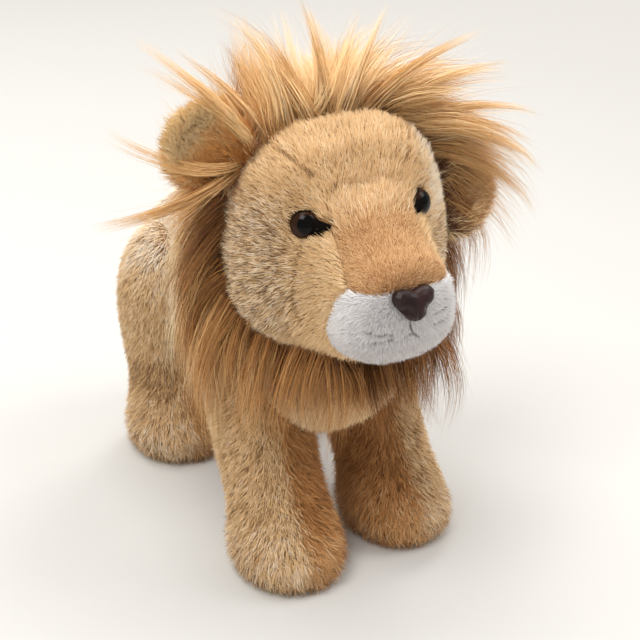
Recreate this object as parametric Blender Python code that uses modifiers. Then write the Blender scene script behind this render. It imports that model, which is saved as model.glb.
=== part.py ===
"""Plush lion that stands on four legs: pile-fabric skins over fibre filling, with a safety nose and
safety eyes on washers, a mane sewn from long-pile panels, and a limp tail in two links and a tuft.

The lion faces -Y, its left side is +X, and it stands on Z = 0. Every size is in metres.
"""

import math

import bmesh
import bpy
from mathutils import Matrix, Vector

# Fabric and seams
SKIN = 0.0020  # pile fabric with the roots of its pile
SEAM_GAP = 0.0003  # between pieces that are sewn or seated together
FILL_GAP = 0.0012  # between a skin and the filling inside it
CUT_OVERRUN = 0.010  # how far a cutter runs past what it cuts

# Torso
TORSO_LENGTH = 0.186
TORSO_WIDTH = 0.084
TORSO_DEPTH = 0.094
BELLY_HEIGHT = 0.056
CHEST_Y = -0.110

# Head
HEAD_LENGTH = 0.124
HEAD_WIDTH = 0.102
HEAD_DEPTH = 0.106
HEAD_OVERHANG = 0.041  # how far the muzzle reaches past the chest
HEAD_RISE = 0.012  # head's middle over the shoulders
SOCKET_DEPTH = 0.0035
BROW_SWELL = 0.0030
BROW_CREASE = 0.0035
CHEEK_SWELL = 0.0030
JAW_CREASE = 0.0025

# Face panels, cut from the head's skin
BRIDGE_BROW_WIDTH = 0.036
BRIDGE_NOSE_WIDTH = 0.044
BRIDGE_LENGTH = 0.042
LIP_TOP_DROP = 0.004  # from the head's middle down to the white panel's top edge
LIP_TOP_REACH = 0.013  # from the muzzle's front back to the end of that edge
LIP_LOW_REACH = 0.027  # and back to the panel's end under the jaw
LIP_SLANT = 0.022  # height over which the rear edge slants back

# Legs
PAW_WIDTH = 0.047
PAW_LENGTH = 0.056
FRONT_LEG_REACH_SHARE = 0.723  # how far up the torso's side a leg is sewn, of the torso's depth
HIND_LEG_REACH_SHARE = 0.787
SOLE_PRESS = 0.0005  # how deep the rounded paw is pressed flat
FRONT_STANCE = 0.024  # from the torso's front to the middle of a front paw
FRONT_STEP = 0.010  # how far the right front paw is put forward of the left
HIND_STANCE = 0.147
LEG_SPREAD_SHARE = 0.78  # of half the torso's width
FRONT_LEG_LEAN = 0.003  # a leg's top leans in over its paw
HIND_LEG_LEAN = 0.003

# Safety eyes and nose
EYE_DIAMETER = 0.0130
EYE_DOME = 0.0052
SHANK_DIAMETER = 0.0034
SHANK_LENGTH = 0.0110
WASHER_DIAMETER = 0.0120
WASHER_THICKNESS = 0.0014
NOSE_WIDTH = 0.0200
NOSE_HEIGHT = 0.0150
NOSE_THICKNESS = 0.0050
NOSE_DROP = 0.0100  # from the head's middle to the nose's
NOSTRIL_WIDTH = 0.0016
PHILTRUM_WIDTH = 0.0010

# Ears
EAR_DIAMETER = 0.038
EAR_CUP = 0.0085
EAR_BACK_THICKNESS = 0.0036
EAR_LINING_THICKNESS = 0.0026
EAR_STANDOFF_SHARE = 0.45  # of its diameter, from its root to its middle
EAR_POSES = (  # side, name, turn up the head from its side, and the ear's own raise
    (-1, "right", math.radians(29), math.radians(58)),
    (1, "left", math.radians(12), math.radians(-46)),
)

# Mane
MANE_LENGTH = 0.060
MANE_SIDE_LENGTH = 0.062
MANE_THICKNESS = 0.020
MANE_BAND = 0.012  # width of the strip of backing that a panel is sewn down by
BAND_GAP = 0.0006  # under that strip
LOCK_CLEARANCE = 0.0026  # between a lock and the body that it hangs over
MANE_BOW_SHARE = 0.10  # how far a lock arches, of its length
VALLEY_SHARE = 0.50  # length between two locks, of the locks' own
PINCH_SHARE = 0.75  # how far a lock's sides draw in to its tip
LOCK_SECTIONS = 4
SETTLE_ROUNDS = 6  # passes in which a lock settles against the forms it hangs over
SLOPE_STEP = 0.0002  # over which a form's slope is measured

# Tail
TAIL_DIAMETER = 0.0115
TAIL_UPPER_LENGTH = 0.038
TAIL_LOWER_LENGTH = 0.030
TUFT_LENGTH = 0.032
TUFT_DIAMETER = 0.016

# Facets
BODY_SIDES, BODY_RINGS = 16, 14
HEAD_SIDES, HEAD_RINGS = 20, 18
LEG_SIDES, LEG_RINGS = 12, 13
TAIL_SIDES, TAIL_RINGS = 12, 9
TUFT_SIDES, TUFT_RINGS = 12, 10
EAR_SIDES, EAR_RINGS = 16, 8
TURN_STEPS = 16
WELD = 0.00001

# Shares along a form, from its start: place, width, depth, and its middle's shift as a share of depth.
# Width and depth are those of a plain ellipsoid times the share.
TORSO_SHARES = (
    (0.00, 1.30, 1.10, 0.075),
    (0.03, 1.34, 1.20, 0.070),
    (0.07, 1.44, 1.40, 0.042),
    (0.15, 1.34, 1.34, 0.020),
    (0.32, 1.07, 1.06, -0.012),
    (0.53, 0.94, 0.90, -0.040),
    (0.74, 1.12, 1.03, -0.028),
    (0.88, 1.40, 1.22, 0.000),
    (0.96, 1.60, 1.36, 0.060),
    (1.00, 1.70, 1.42, 0.090),
)
HEAD_SHARES = (
    (0.00, 1.24, 1.20, -0.140),
    (0.03, 1.12, 1.02, -0.144),
    (0.08, 0.88, 0.82, -0.148),
    (0.15, 0.69, 0.70, -0.140),
    (0.24, 0.62, 0.74, -0.116),
    (0.32, 0.70, 0.79, -0.088),
    (0.39, 0.85, 0.89, -0.050),
    (0.48, 0.98, 0.99, -0.012),
    (0.60, 1.02, 1.02, 0.000),
    (0.74, 1.09, 1.09, 0.005),
    (0.86, 1.13, 1.17, 0.000),
    (0.95, 1.20, 1.28, -0.010),
    (1.00, 1.22, 1.30, -0.010),
)
FRONT_LEG_SHARES = (
    (0.000, 5.60, 5.60, 0.000),
    (0.004, 5.40, 5.40, 0.000),
    (0.02, 2.95, 2.95, 0.000),
    (0.07, 1.90, 1.88, 0.005),
    (0.13, 1.48, 1.46, 0.030),
    (0.22, 1.15, 1.08, 0.120),
    (0.31, 0.99, 0.92, 0.250),
    (0.46, 0.95, 0.88, 0.450),
    (0.67, 1.04, 1.02, 0.620),
    (0.85, 1.18, 1.30, 0.720),
    (0.94, 1.30, 1.40, 0.760),
    (1.00, 1.30, 1.40, 0.770),
)
HIND_LEG_SHARES = (
    (0.000, 5.60, 5.60, 0.000),
    (0.004, 5.40, 5.40, 0.000),
    (0.02, 2.95, 2.95, 0.000),
    (0.07, 1.88, 1.86, 0.000),
    (0.13, 1.46, 1.44, 0.010),
    (0.21, 1.10, 1.04, 0.070),
    (0.30, 0.88, 0.80, 0.170),
    (0.41, 0.86, 0.82, 0.240),
    (0.60, 1.00, 1.06, 0.190),
    (0.78, 1.14, 1.34, 0.080),
    (0.91, 1.24, 1.54, 0.000),
    (1.00, 1.28, 1.60, -0.020),
)
TUFT_SHARES = (
    (0.00, 0.70, 0.70, 0.0),
    (0.30, 0.95, 0.95, 0.0),
    (0.60, 1.06, 1.06, 0.0),
    (0.85, 0.80, 0.80, 0.0),
    (1.00, 0.50, 0.50, 0.0),
)

MANE_PANELS = (  # place along the head, turns round it, locks, and how far it leans to the back row
    ("mane_crown", 0.60, (50, 120), 7, 0.10),
    ("mane_top", 0.76, (44, 136), 6, 0.50),
    ("mane_nape", 0.91, (2, 178), 8, 0.95),
    ("mane_bib", 0.37, (-138, -42), 7, 0.0),
    ("mane_side_left", 0.60, (-12, -56), 4, 0.0),
    ("mane_side_right", 0.60, (192, 236), 4, 0.0),
    ("mane_shoulder_left", 0.80, (0, -50), 4, 0.5),
    ("mane_shoulder_right", 0.80, (180, 230), 4, 0.5),
)
FRONT_REACH_SHARES = (  # turn round the head, and where a lock's tip is from its root, of its length
    (-90, 0.00, -0.27, -0.57),
    (-76, 0.07, -0.25, -0.63),
    (-62, 0.13, -0.20, -0.80),
    (-45, 0.20, -0.10, -1.00),
    (-15, 0.27, 0.07, -1.03),
    (0, 0.40, 0.03, -0.93),
    (20, 0.70, -0.17, -0.67),
    (40, 0.95, -0.35, -0.45),
    (58, 0.98, -0.30, 0.00),
    (74, 0.88, 0.03, 0.37),
    (86, 0.53, 0.17, 0.63),
    (96, 0.07, 0.27, 0.70),
    (110, -0.23, 0.23, 0.73),
    (125, -0.47, 0.20, 0.72),
    (150, -0.57, 0.43, 0.23),
    (162, -0.43, 0.53, -0.23),
    (175, -0.30, 0.43, -0.80),
    (190, -0.23, 0.23, -1.10),
    (210, -0.20, 0.03, -1.10),
    (225, -0.17, -0.10, -1.00),
    (242, -0.13, -0.20, -0.80),
    (256, -0.07, -0.25, -0.63),
    (270, 0.00, -0.27, -0.57),
)
BACK_REACH_SHARES = (0.67, 0.57, 0.23, -0.30)  # out, back, up at the crown, and down all round
SIDE_WAY_SHARES = (  # leaning, then the way out, back and up at the head's middle, and what is added below
    (0.0, 0.80, 0.10, -0.35, -0.55, -0.90),
    (1.0, 0.90, 1.10, -0.45, -0.55, -0.30),
)
LOCK_SHARES = (  # each lock's length, and how far it sways towards the next
    (1.04, -0.14),
    (0.88, 0.10),
    (1.02, -0.06),
    (0.92, 0.16),
    (1.06, -0.10),
    (0.86, 0.06),
    (1.00, 0.12),
    (0.94, -0.08),
)
LOCK_WIDTH_SHARES = (  # thickness up a lock
    (0.20, 1.00),
    (0.40, 1.02),
    (0.60, 0.88),
    (0.80, 0.58),
    (1.00, 0.10),
)

EYE_ALONG_SHARE, EYE_TURN = 0.335, math.radians(33)
EAR_ALONG_SHARE = 0.64

BACK_TOP = BELLY_HEIGHT + TORSO_DEPTH
HEAD_MIDDLE = BACK_TOP + HEAD_RISE
MUZZLE_Y = CHEST_Y - HEAD_OVERHANG
FRONT_LEG_LENGTH = BELLY_HEIGHT + TORSO_DEPTH * FRONT_LEG_REACH_SHARE
HIND_LEG_LENGTH = BELLY_HEIGHT + TORSO_DEPTH * HIND_LEG_REACH_SHARE

X_AXIS, Y_AXIS, Z_AXIS = Vector((1, 0, 0)), Vector((0, 1, 0)), Vector((0, 0, 1))


def share_at(shares, place, column):
    """The table's value at a place between its rows, on a curve that is smooth through them."""
    last = len(shares) - 2
    row = next((i for i in range(last) if place < shares[i + 1][0]), last)
    start, end = shares[row], shares[row + 1]
    before = shares[max(row - 1, 0)]
    after = shares[min(row + 2, len(shares) - 1)]
    span = end[0] - start[0]
    t = (place - start[0]) / span
    slope_in = (end[column] - before[column]) / max(end[0] - before[0], span) * span
    slope_out = (after[column] - start[column]) / max(after[0] - start[0], span) * span
    return (
        start[column] * (2 * t**3 - 3 * t**2 + 1)
        + slope_in * (t**3 - 2 * t**2 + t)
        + end[column] * (3 * t**2 - 2 * t**3)
        + slope_out * (t**3 - t**2)
    )


class Form:
    """A stuffed shape: an ellipsoid along one axis that swells and tapers by its shares."""

    def __init__(self, start, axes, sizes, shares, square=2.2, taper=0.0, lean=0.0, pressed=None):
        self.start = Vector(start)
        self.along, self.across, self.through = axes
        self.length, self.width, self.depth = sizes
        self.shares = shares
        self.square = square
        self.taper = taper
        self.lean = lean
        self.pressed = pressed
        self.pushes = []

    def push(self, place, turn, reach, by):
        """Moves the surface round a point of it by a vector, which fades out over the reach."""
        self.pushes.append((self.plain_point(place, turn, 0.0), reach, Vector(by)))

    def plain_point(self, place, turn, grow):
        """A point before the pushes: place runs 0 to 1 along the form, and turn goes round it."""
        dome = 2 * math.sqrt(max(place * (1 - place), 0.0))
        proud = grow * min(1.0, 8 * dome)
        half_width = self.width / 2 * dome * share_at(self.shares, place, 1) + proud
        half_depth = self.depth / 2 * dome * share_at(self.shares, place, 2) + proud
        if dome == 0.0:
            half_width = half_depth = 0.0
        cos_turn, sin_turn = math.cos(turn), math.sin(turn)
        round_share = 2 / self.square
        out = math.copysign(abs(cos_turn) ** round_share, cos_turn) * half_width
        up = math.copysign(abs(sin_turn) ** round_share, sin_turn) * half_depth
        out *= 1 - self.taper * sin_turn
        up += self.depth * share_at(self.shares, place, 3)
        run = place * (self.length + 2 * grow) - grow
        return (
            self.start
            + self.along * run
            + self.across * (out + self.lean * place)
            + self.through * up
        )

    def point(self, place, turn, grow=0.0):
        """A point of the surface, or of one that lies outside it by grow."""
        rest = self.plain_point(place, turn, 0.0)
        found = self.plain_point(place, turn, grow)
        for middle, reach, by in self.pushes:
            found += by * math.exp(-(((rest - middle).length / reach) ** 2))
        if self.pressed is not None:
            found.z = max(found.z, self.start.z + self.pressed - grow)
        return found

    def ring_place(self, index, rings):
        """Where a ring lies along the form; the first one of a pressed form is the flat face's edge."""
        if self.pressed is not None and index == 1:
            return self.pressed / self.length
        return (1 - math.cos(math.pi * index / rings)) / 2

    def reach(self, point, gap):
        """How far out a point lies from the form's middle line, where 1 is on a surface grown by gap."""
        offset = point - self.start
        place = (offset.dot(self.along) + gap) / (self.length + 2 * gap)
        if not 0 < place < 1:
            return 2.0
        dome = 2 * math.sqrt(place * (1 - place))
        half_width = self.width / 2 * dome * share_at(self.shares, place, 1) + gap
        half_depth = self.depth / 2 * dome * share_at(self.shares, place, 2) + gap
        out = offset.dot(self.across) - self.lean * place
        up = offset.dot(self.through) - self.depth * share_at(self.shares, place, 3)
        powers = abs(out / half_width) ** self.square + abs(up / half_depth) ** self.square
        return powers ** (1 / self.square)

    def outside(self, point, gap):
        """The point, or one near it that clears the surface by the gap if it lies closer or inside."""
        for _ in range(SETTLE_ROUNDS):
            reach = self.reach(point, gap)
            if reach >= 1:
                break
            slope = Vector(
                self.reach(point + axis * SLOPE_STEP, gap) - self.reach(point - axis * SLOPE_STEP, gap)
                for axis in (X_AXIS, Y_AXIS, Z_AXIS)
            ) / (2 * SLOPE_STEP)
            point = point + slope * ((1.001 - reach) / max(slope.length_squared, 1.0))
        return point

    def normal(self, place, turn):
        """The direction that the surface faces."""
        step = 0.01
        ahead = self.point(place + step, turn) - self.point(place - step, turn)
        round_it = self.point(place, turn + step) - self.point(place, turn - step)
        facing = ahead.cross(round_it).normalized()
        outward = self.point(place, turn) - self.point(place, turn + math.pi)
        return facing if facing.dot(outward) > 0 else -facing


def torso_form():
    """The body from chest to rump."""
    start = (0, CHEST_Y, BELLY_HEIGHT + TORSO_DEPTH / 2)
    sizes = (TORSO_LENGTH, TORSO_WIDTH, TORSO_DEPTH)
    return Form(start, (Y_AXIS, X_AXIS, Z_AXIS), sizes, TORSO_SHARES, square=2.3)


def head_form():
    """The head from the muzzle's front to the nape, with its sockets, brows and cheeks."""
    start = (0, MUZZLE_Y, HEAD_MIDDLE)
    sizes = (HEAD_LENGTH, HEAD_WIDTH, HEAD_DEPTH)
    form = Form(start, (Y_AXIS, X_AXIS, Z_AXIS), sizes, HEAD_SHARES, square=2.5, taper=0.02)
    for side in (-1, 1):
        turn = math.pi / 2 - side * (math.pi / 2 - EYE_TURN)
        inward = Vector((-side * 0.75, 0.60, -0.20))
        outward = Vector((side * 0.30, -0.75, 0.55))
        sideways = Vector((side, -0.30, -0.10))
        form.push(EYE_ALONG_SHARE, turn, HEAD_WIDTH * 0.11, inward * SOCKET_DEPTH)
        brow = math.pi / 2 - side * math.radians(26)
        form.push(EYE_ALONG_SHARE + 0.05, brow, HEAD_WIDTH * 0.13, outward * BROW_SWELL)
        cheek = math.pi / 2 - side * math.radians(108)
        form.push(0.46, cheek, HEAD_WIDTH * 0.24, sideways * CHEEK_SWELL)
        jaw = math.pi / 2 - side * math.radians(100)
        form.push(0.27, jaw, HEAD_WIDTH * 0.11, -sideways * JAW_CREASE)
        pad = math.pi / 2 - side * math.radians(112)
        form.push(0.10, pad, HEAD_WIDTH * 0.14, sideways * CHEEK_SWELL * 0.8)
    form.push(0.315, math.pi / 2, HEAD_WIDTH * 0.13, Vector((0, 0.5, -0.8)) * BROW_CREASE)
    return form


def leg_form(side, front):
    """One leg with its paw pressed flat on the floor; side is 1 for the lion's left."""
    stance = FRONT_STANCE if front else HIND_STANCE
    length = FRONT_LEG_LENGTH if front else HIND_LEG_LENGTH
    shares = FRONT_LEG_SHARES if front else HIND_LEG_SHARES
    lean = FRONT_LEG_LEAN if front else HIND_LEG_LEAN
    if front and side < 0:
        stance -= FRONT_STEP
    x = side * TORSO_WIDTH / 2 * LEG_SPREAD_SHARE
    return Form(
        (x, CHEST_Y + stance, -SOLE_PRESS),
        (Z_AXIS, X_AXIS, Y_AXIS),
        (length, PAW_WIDTH, PAW_LENGTH),
        shares,
        square=2.2,
        lean=-side * lean,
        pressed=SOLE_PRESS,
    )


def material(name, colour, roughness, metallic=0.0):
    """A plain finish."""
    made = bpy.data.materials.new(name)
    made.use_nodes = True
    shader = made.node_tree.nodes["Principled BSDF"]
    shader.inputs["Base Color"].default_value = (*colour, 1)
    shader.inputs["Roughness"].default_value = roughness
    shader.inputs["Metallic"].default_value = metallic
    made.diffuse_color = (*colour, 1)
    return made


class Workshop:
    """The collections that the parts and cutters go in, and the fabrics."""

    def __init__(self):
        for old in list(bpy.data.objects):
            bpy.data.objects.remove(old, do_unlink=True)
        self.parts = self.collection("plush_lion")
        self.cutters = self.collection("cutters")
        self.root = bpy.data.objects.new("lion_frame", None)
        self.parts.objects.link(self.root)
        self.tan = material("tan_pile", (0.56, 0.36, 0.18), 0.95)
        self.bridge = material("short_pile", (0.58, 0.34, 0.17), 0.95)
        self.white = material("white_pile", (0.86, 0.86, 0.86), 0.95)
        self.mane = material("mane_pile", (0.52, 0.27, 0.09), 0.85)
        self.brown = material("brown_pile", (0.22, 0.10, 0.04), 0.95)
        self.fibre = material("fibre_filling", (0.88, 0.87, 0.84), 1.0)
        self.gloss = material("eye_gloss", (0.02, 0.012, 0.008), 0.08)
        self.moulded = material("nose_moulding", (0.045, 0.025, 0.022), 0.35)
        self.washer = material("washer_plastic", (0.80, 0.80, 0.78), 0.45)

    def collection(self, name):
        found = bpy.data.collections.get(name) or bpy.data.collections.new(name)
        bpy.context.scene.collection.children.link(found)
        return found

    def add(self, name, mesh, finish=None):
        """Puts a mesh in the scene: a part if it has a finish, a cutter if it has none."""
        made = bpy.data.objects.new(name, mesh)
        if finish is None:
            self.cutters.objects.link(made)
            made.hide_render = True
            made.display_type = "WIRE"
        else:
            self.parts.objects.link(made)
            mesh.materials.append(finish)
        made.parent = self.root
        return made


def shade(mesh):
    """Smooth faces with sharp edges kept."""
    mesh.shade_smooth()
    mesh.set_sharp_from_angle(angle=math.radians(50))


def mesh_from(bm, name, wound=False):
    """A mesh of the bmesh with its faces outwards; wound if they already agree with each other."""
    if not wound:
        bmesh.ops.recalc_face_normals(bm, faces=bm.faces)
    if bm.calc_volume(signed=True) < 0:
        bmesh.ops.reverse_faces(bm, faces=bm.faces)
    mesh = bpy.data.meshes.new(name)
    bm.to_mesh(mesh)
    bm.free()
    shade(mesh)
    return mesh


def add_surface(bm, form, grow, sides, rings, inside_out=False):
    """A form's closed surface, from a sphere whose poles lie on the form's axis."""
    made = bmesh.ops.create_uvsphere(bm, u_segments=sides, v_segments=rings, radius=1)
    for vert in made["verts"]:
        index = round(math.acos(min(max(vert.co.z, -1), 1)) / math.pi * rings)
        around = math.atan2(vert.co.y, vert.co.x)
        vert.co = form.point(form.ring_place(index, rings), around, grow)
    mirrored = form.across.cross(form.through).dot(form.along) > 0
    if mirrored != inside_out:
        faces = list({face for vert in made["verts"] for face in vert.link_faces})
        bmesh.ops.reverse_faces(bm, faces=faces)


def stuffed(name, form, grow, sides, rings):
    """A solid of the form."""
    bm = bmesh.new()
    add_surface(bm, form, grow, sides, rings)
    mesh = bpy.data.meshes.new(name)
    bm.to_mesh(mesh)
    bm.free()
    shade(mesh)
    return mesh


def skin(name, form, sides, rings):
    """A fabric skin of the form, hollow inside; a cut opens it where it is sewn on."""
    bm = bmesh.new()
    add_surface(bm, form, 0.0, sides, rings)
    add_surface(bm, form, -SKIN, sides, rings, inside_out=True)
    mesh = bpy.data.meshes.new(name)
    bm.to_mesh(mesh)
    bm.free()
    shade(mesh)
    return mesh


def cut(target, cutter, operation="DIFFERENCE"):
    """Cuts a part with a cutter, or keeps what lies in both."""
    modifier = target.modifiers.new(cutter.name, "BOOLEAN")
    modifier.operation = operation
    modifier.solver = "EXACT"
    modifier.object = cutter


def turned(name, profile):
    """A turned piece about Z, from a profile that runs down its outer side."""
    mesh = bpy.data.meshes.new(name)
    points = [(radius, 0, height) for radius, height in profile]
    closed = profile[0][0] > 0
    edges = [(i, i + 1) for i in range(len(points) - 1)]
    if closed:
        edges.append((len(points) - 1, 0))
    mesh.from_pydata(points, edges, [])
    return mesh


def spin(target):
    """Turns the profile of a piece about its Z axis."""
    screw = target.modifiers.new("turn", "SCREW")
    screw.steps = screw.render_steps = TURN_STEPS
    screw.use_merge_vertices = True
    screw.merge_threshold = WELD


def aimed(point, facing, up=Z_AXIS):
    """A placing whose Z axis runs along facing and whose Y axis is as near up as it can be."""
    z = facing.normalized()
    x = up.cross(z).normalized()
    y = z.cross(x)
    turned_frame = Matrix((x, y, z)).transposed().to_4x4()
    return Matrix.Translation(point) @ turned_frame


def build_torso(shop, torso, head):
    """Body skin with its neck opening, and its filling."""
    body = shop.add("torso_skin", skin("torso_skin", torso, BODY_SIDES, BODY_RINGS), shop.tan)
    neck = shop.add("cut_neck", stuffed("cut_neck", head, -SKIN - SEAM_GAP, HEAD_SIDES, HEAD_RINGS))
    cut(body, neck)
    fill = stuffed("torso_filling", torso, -SKIN - FILL_GAP, BODY_SIDES, BODY_RINGS)
    shop.add("torso_filling", fill, shop.fibre)


def bridge_outline():
    """The nose-bridge panel seen from above: narrow between the brows and broad at the nose."""
    brow, nose = BRIDGE_BROW_WIDTH / 2, BRIDGE_NOSE_WIDTH / 2
    back = MUZZLE_Y + BRIDGE_LENGTH
    right_half = [
        (nose * 0.94, MUZZLE_Y - CUT_OVERRUN),
        (nose, MUZZLE_Y + BRIDGE_LENGTH * 0.30),
        ((nose + brow) / 2, MUZZLE_Y + BRIDGE_LENGTH * 0.60),
        (brow, back - BRIDGE_LENGTH * 0.08),
        (brow * 0.55, back),
    ]
    return right_half + [(-x, y) for x, y in reversed(right_half)]


def lip_outline():
    """The white lip panel seen from the side: a flat top edge, then a slant back under the jaw."""
    top = HEAD_MIDDLE - LIP_TOP_DROP
    low = HEAD_MIDDLE - HEAD_DEPTH
    return [
        (MUZZLE_Y - CUT_OVERRUN, low),
        (MUZZLE_Y + LIP_LOW_REACH, low),
        (MUZZLE_Y + LIP_LOW_REACH, top - LIP_SLANT),
        (MUZZLE_Y + LIP_TOP_REACH + (LIP_LOW_REACH - LIP_TOP_REACH) * 0.4, top - LIP_SLANT * 0.25),
        (MUZZLE_Y + LIP_TOP_REACH, top),
        (MUZZLE_Y - CUT_OVERRUN, top),
    ]


def grown(outline, by):
    """The outline moved outwards by a distance."""
    area = sum(a[0] * b[1] - b[0] * a[1] for a, b in zip(outline, outline[1:] + outline[:1]))
    hand = math.copysign(1, area)
    moved = []
    for i, here in enumerate(outline):
        before, after = Vector(outline[i - 1]), Vector(outline[(i + 1) % len(outline)])
        first = (Vector(here) - before).normalized()
        second = (after - Vector(here)).normalized()
        out_first = Vector((first.y, -first.x)) * hand
        out_second = Vector((second.y, -second.x)) * hand
        mitre = (out_first + out_second).normalized()
        moved.append(tuple(Vector(here) + mitre * by / max(mitre.dot(out_first), 0.3)))
    return moved


def prism(name, outline, low, high, to_point):
    """A flat outline extruded between two levels; to_point gives the point for u, v and a level."""
    bm = bmesh.new()
    verts = [bm.verts.new(to_point(u, v, low)) for u, v in outline]
    base = bm.faces.new(verts)
    extruded = bmesh.ops.extrude_face_region(bm, geom=[base])
    moved = [item for item in extruded["geom"] if isinstance(item, bmesh.types.BMVert)]
    shift = to_point(0, 0, high) - to_point(0, 0, low)
    bmesh.ops.translate(bm, verts=moved, vec=shift)
    return mesh_from(bm, name)


def build_head(shop, head, torso, torso_cutter):
    """Head skin, its bridge and lip panels, and the filling."""
    panels = {}
    for name, finish in (
        ("head_skin", shop.tan),
        ("bridge_panel", shop.bridge),
        ("muzzle_panel", shop.white),
    ):
        panels[name] = shop.add(name, skin(name, head, HEAD_SIDES, HEAD_RINGS), finish)
    cut(panels["head_skin"], torso_cutter)

    def seen_from_above(u, v, level):
        return Vector((u, v, level))

    def seen_from_side(u, v, level):
        return Vector((level, u, v))

    over, under = HEAD_MIDDLE + HEAD_DEPTH, HEAD_MIDDLE - LIP_TOP_DROP - LIP_SLANT
    side = HEAD_WIDTH
    blocks = {}
    for name, by in (("fit", 0.0), ("seam", SEAM_GAP)):
        bridge = prism(f"cut_bridge_{name}", grown(bridge_outline(), by), under - by, over, seen_from_above)
        lip = prism(f"cut_lip_{name}", grown(lip_outline(), by), -side, side, seen_from_side)
        blocks["bridge", name] = shop.add(f"cut_bridge_{name}", bridge)
        blocks["lip", name] = shop.add(f"cut_lip_{name}", lip)
    cut(panels["bridge_panel"], blocks["bridge", "fit"], "INTERSECT")
    cut(panels["bridge_panel"], blocks["lip", "seam"])
    cut(panels["muzzle_panel"], blocks["lip", "fit"], "INTERSECT")
    cut(panels["head_skin"], blocks["bridge", "seam"])
    cut(panels["head_skin"], blocks["lip", "seam"])
    filling = shop.add(
        "head_filling",
        stuffed("head_filling", head, -SKIN - FILL_GAP, HEAD_SIDES, HEAD_RINGS),
        shop.fibre,
    )
    inner_torso = stuffed("cut_inner_torso", torso, -SKIN - FILL_GAP + SEAM_GAP, BODY_SIDES, BODY_RINGS)
    cut(filling, shop.add("cut_inner_torso", inner_torso))
    return panels, filling


def dome_profile(radius, height, shank_length, grow=0.0):
    """A domed bead on a shank, outer side from the crown down."""
    steps = 7
    arc = [
        (math.sin(i / steps * math.pi / 2), math.cos(i / steps * math.pi / 2))
        for i in range(steps + 1)
    ]
    profile = [((radius + grow) * out, (height + grow) * up) for out, up in arc]
    shank = SHANK_DIAMETER / 2 + grow
    profile.append((radius + grow, -grow))
    profile.append((shank, -grow))
    profile.append((shank, -shank_length - grow))
    profile.append((0, -shank_length - grow))
    return profile


def washer_profile(grow=0.0):
    """A flat ring on the shank, just under the skin."""
    inner = SHANK_DIAMETER / 2 + SEAM_GAP - grow
    outer = WASHER_DIAMETER / 2 + grow
    top = -SKIN - SOCKET_DEPTH * 0.2 - SEAM_GAP + grow
    low = top - WASHER_THICKNESS - 2 * grow
    return [(outer, top), (outer, low), (max(inner, 0), low), (max(inner, 0), top)]


def build_eyes(shop, head, head_skin, filling):
    """Two safety eyes, each with a washer on its shank behind the skin."""
    for side, word in ((-1, "right"), (1, "left")):
        around = math.pi / 2 - side * (math.pi / 2 - EYE_TURN)
        seat = head.point(EYE_ALONG_SHARE, around)
        facing = (head.normal(EYE_ALONG_SHARE, around) + Vector((0, -0.35, 0))).normalized()
        place = aimed(seat + facing * SEAM_GAP, facing)
        eye = shop.add(
            f"eye_{word}",
            turned(f"eye_{word}", dome_profile(EYE_DIAMETER / 2, EYE_DOME, SHANK_LENGTH)),
            shop.gloss,
        )
        washer = shop.add(f"eye_washer_{word}", turned(f"eye_washer_{word}", washer_profile()), shop.washer)
        room = shop.add(
            f"cut_eye_{word}",
            turned(f"cut_eye_{word}", dome_profile(EYE_DIAMETER / 2, EYE_DOME, SHANK_LENGTH, SEAM_GAP)),
        )
        washer_room = shop.add(f"cut_washer_{word}", washer_block(f"cut_washer_{word}"))
        for piece in (eye, washer, room, washer_room):
            piece.matrix_local = place
        for piece in (eye, washer, room):
            spin(piece)
        cut(head_skin, room)
        cut(filling, room)
        cut(head_skin, washer_room)
        cut(filling, washer_room)


def washer_block(name):
    """The room that a washer takes in the filling."""
    (outer, top), (_, low) = washer_profile(SEAM_GAP)[:2]
    bm = bmesh.new()
    bmesh.ops.create_cone(
        bm,
        cap_ends=True,
        segments=TURN_STEPS,
        radius1=outer,
        radius2=outer,
        depth=top - low,
        matrix=Matrix.Translation((0, 0, (top + low) / 2)),
    )
    return mesh_from(bm, name)


def nose_outline(grow=0.0):
    """Half the nose from the front, right side: broad shoulders that narrow to the philtrum."""
    half, height = NOSE_WIDTH / 2 + grow, NOSE_HEIGHT / 2 + grow
    return [
        (0.00 * half, 0.80 * height),
        (0.42 * half, 0.98 * height),
        (0.80 * half, 0.94 * height),
        (1.00 * half, 0.62 * height),
        (0.94 * half, 0.18 * height),
        (0.62 * half, -0.34 * height),
        (0.36 * half, -0.80 * height),
        (0.00 * half, -1.00 * height),
    ]


def nose_body(name, grow=0.0):
    """The moulding without its nostrils: a domed pad with rounded edges."""
    bm = bmesh.new()
    half = nose_outline(grow)
    ring = half + [(-x, y) for x, y in reversed(half[1:-1])]
    levels = (
        (-0.35, 0.90),
        (0.00, 1.00),
        (0.40, 0.96),
        (0.75, 0.80),
        (0.95, 0.52),
        (1.02, 0.24),
    )
    loops = []
    for level_share, size_share in levels:
        z = level_share * (NOSE_THICKNESS + grow)
        loops.append([bm.verts.new((x * size_share, y * size_share, z)) for x, y in ring])
    count = len(ring)
    for low, high in zip(loops, loops[1:]):
        for i in range(count):
            j = (i + 1) % count
            bm.faces.new((low[i], low[j], high[j], high[i]))
    bm.faces.new(loops[-1])
    bm.faces.new(list(reversed(loops[0])))
    shank = SHANK_DIAMETER / 2 + grow
    reach = SHANK_LENGTH + grow
    mesh = mesh_from(bm, name)
    return mesh, shank, reach


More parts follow.
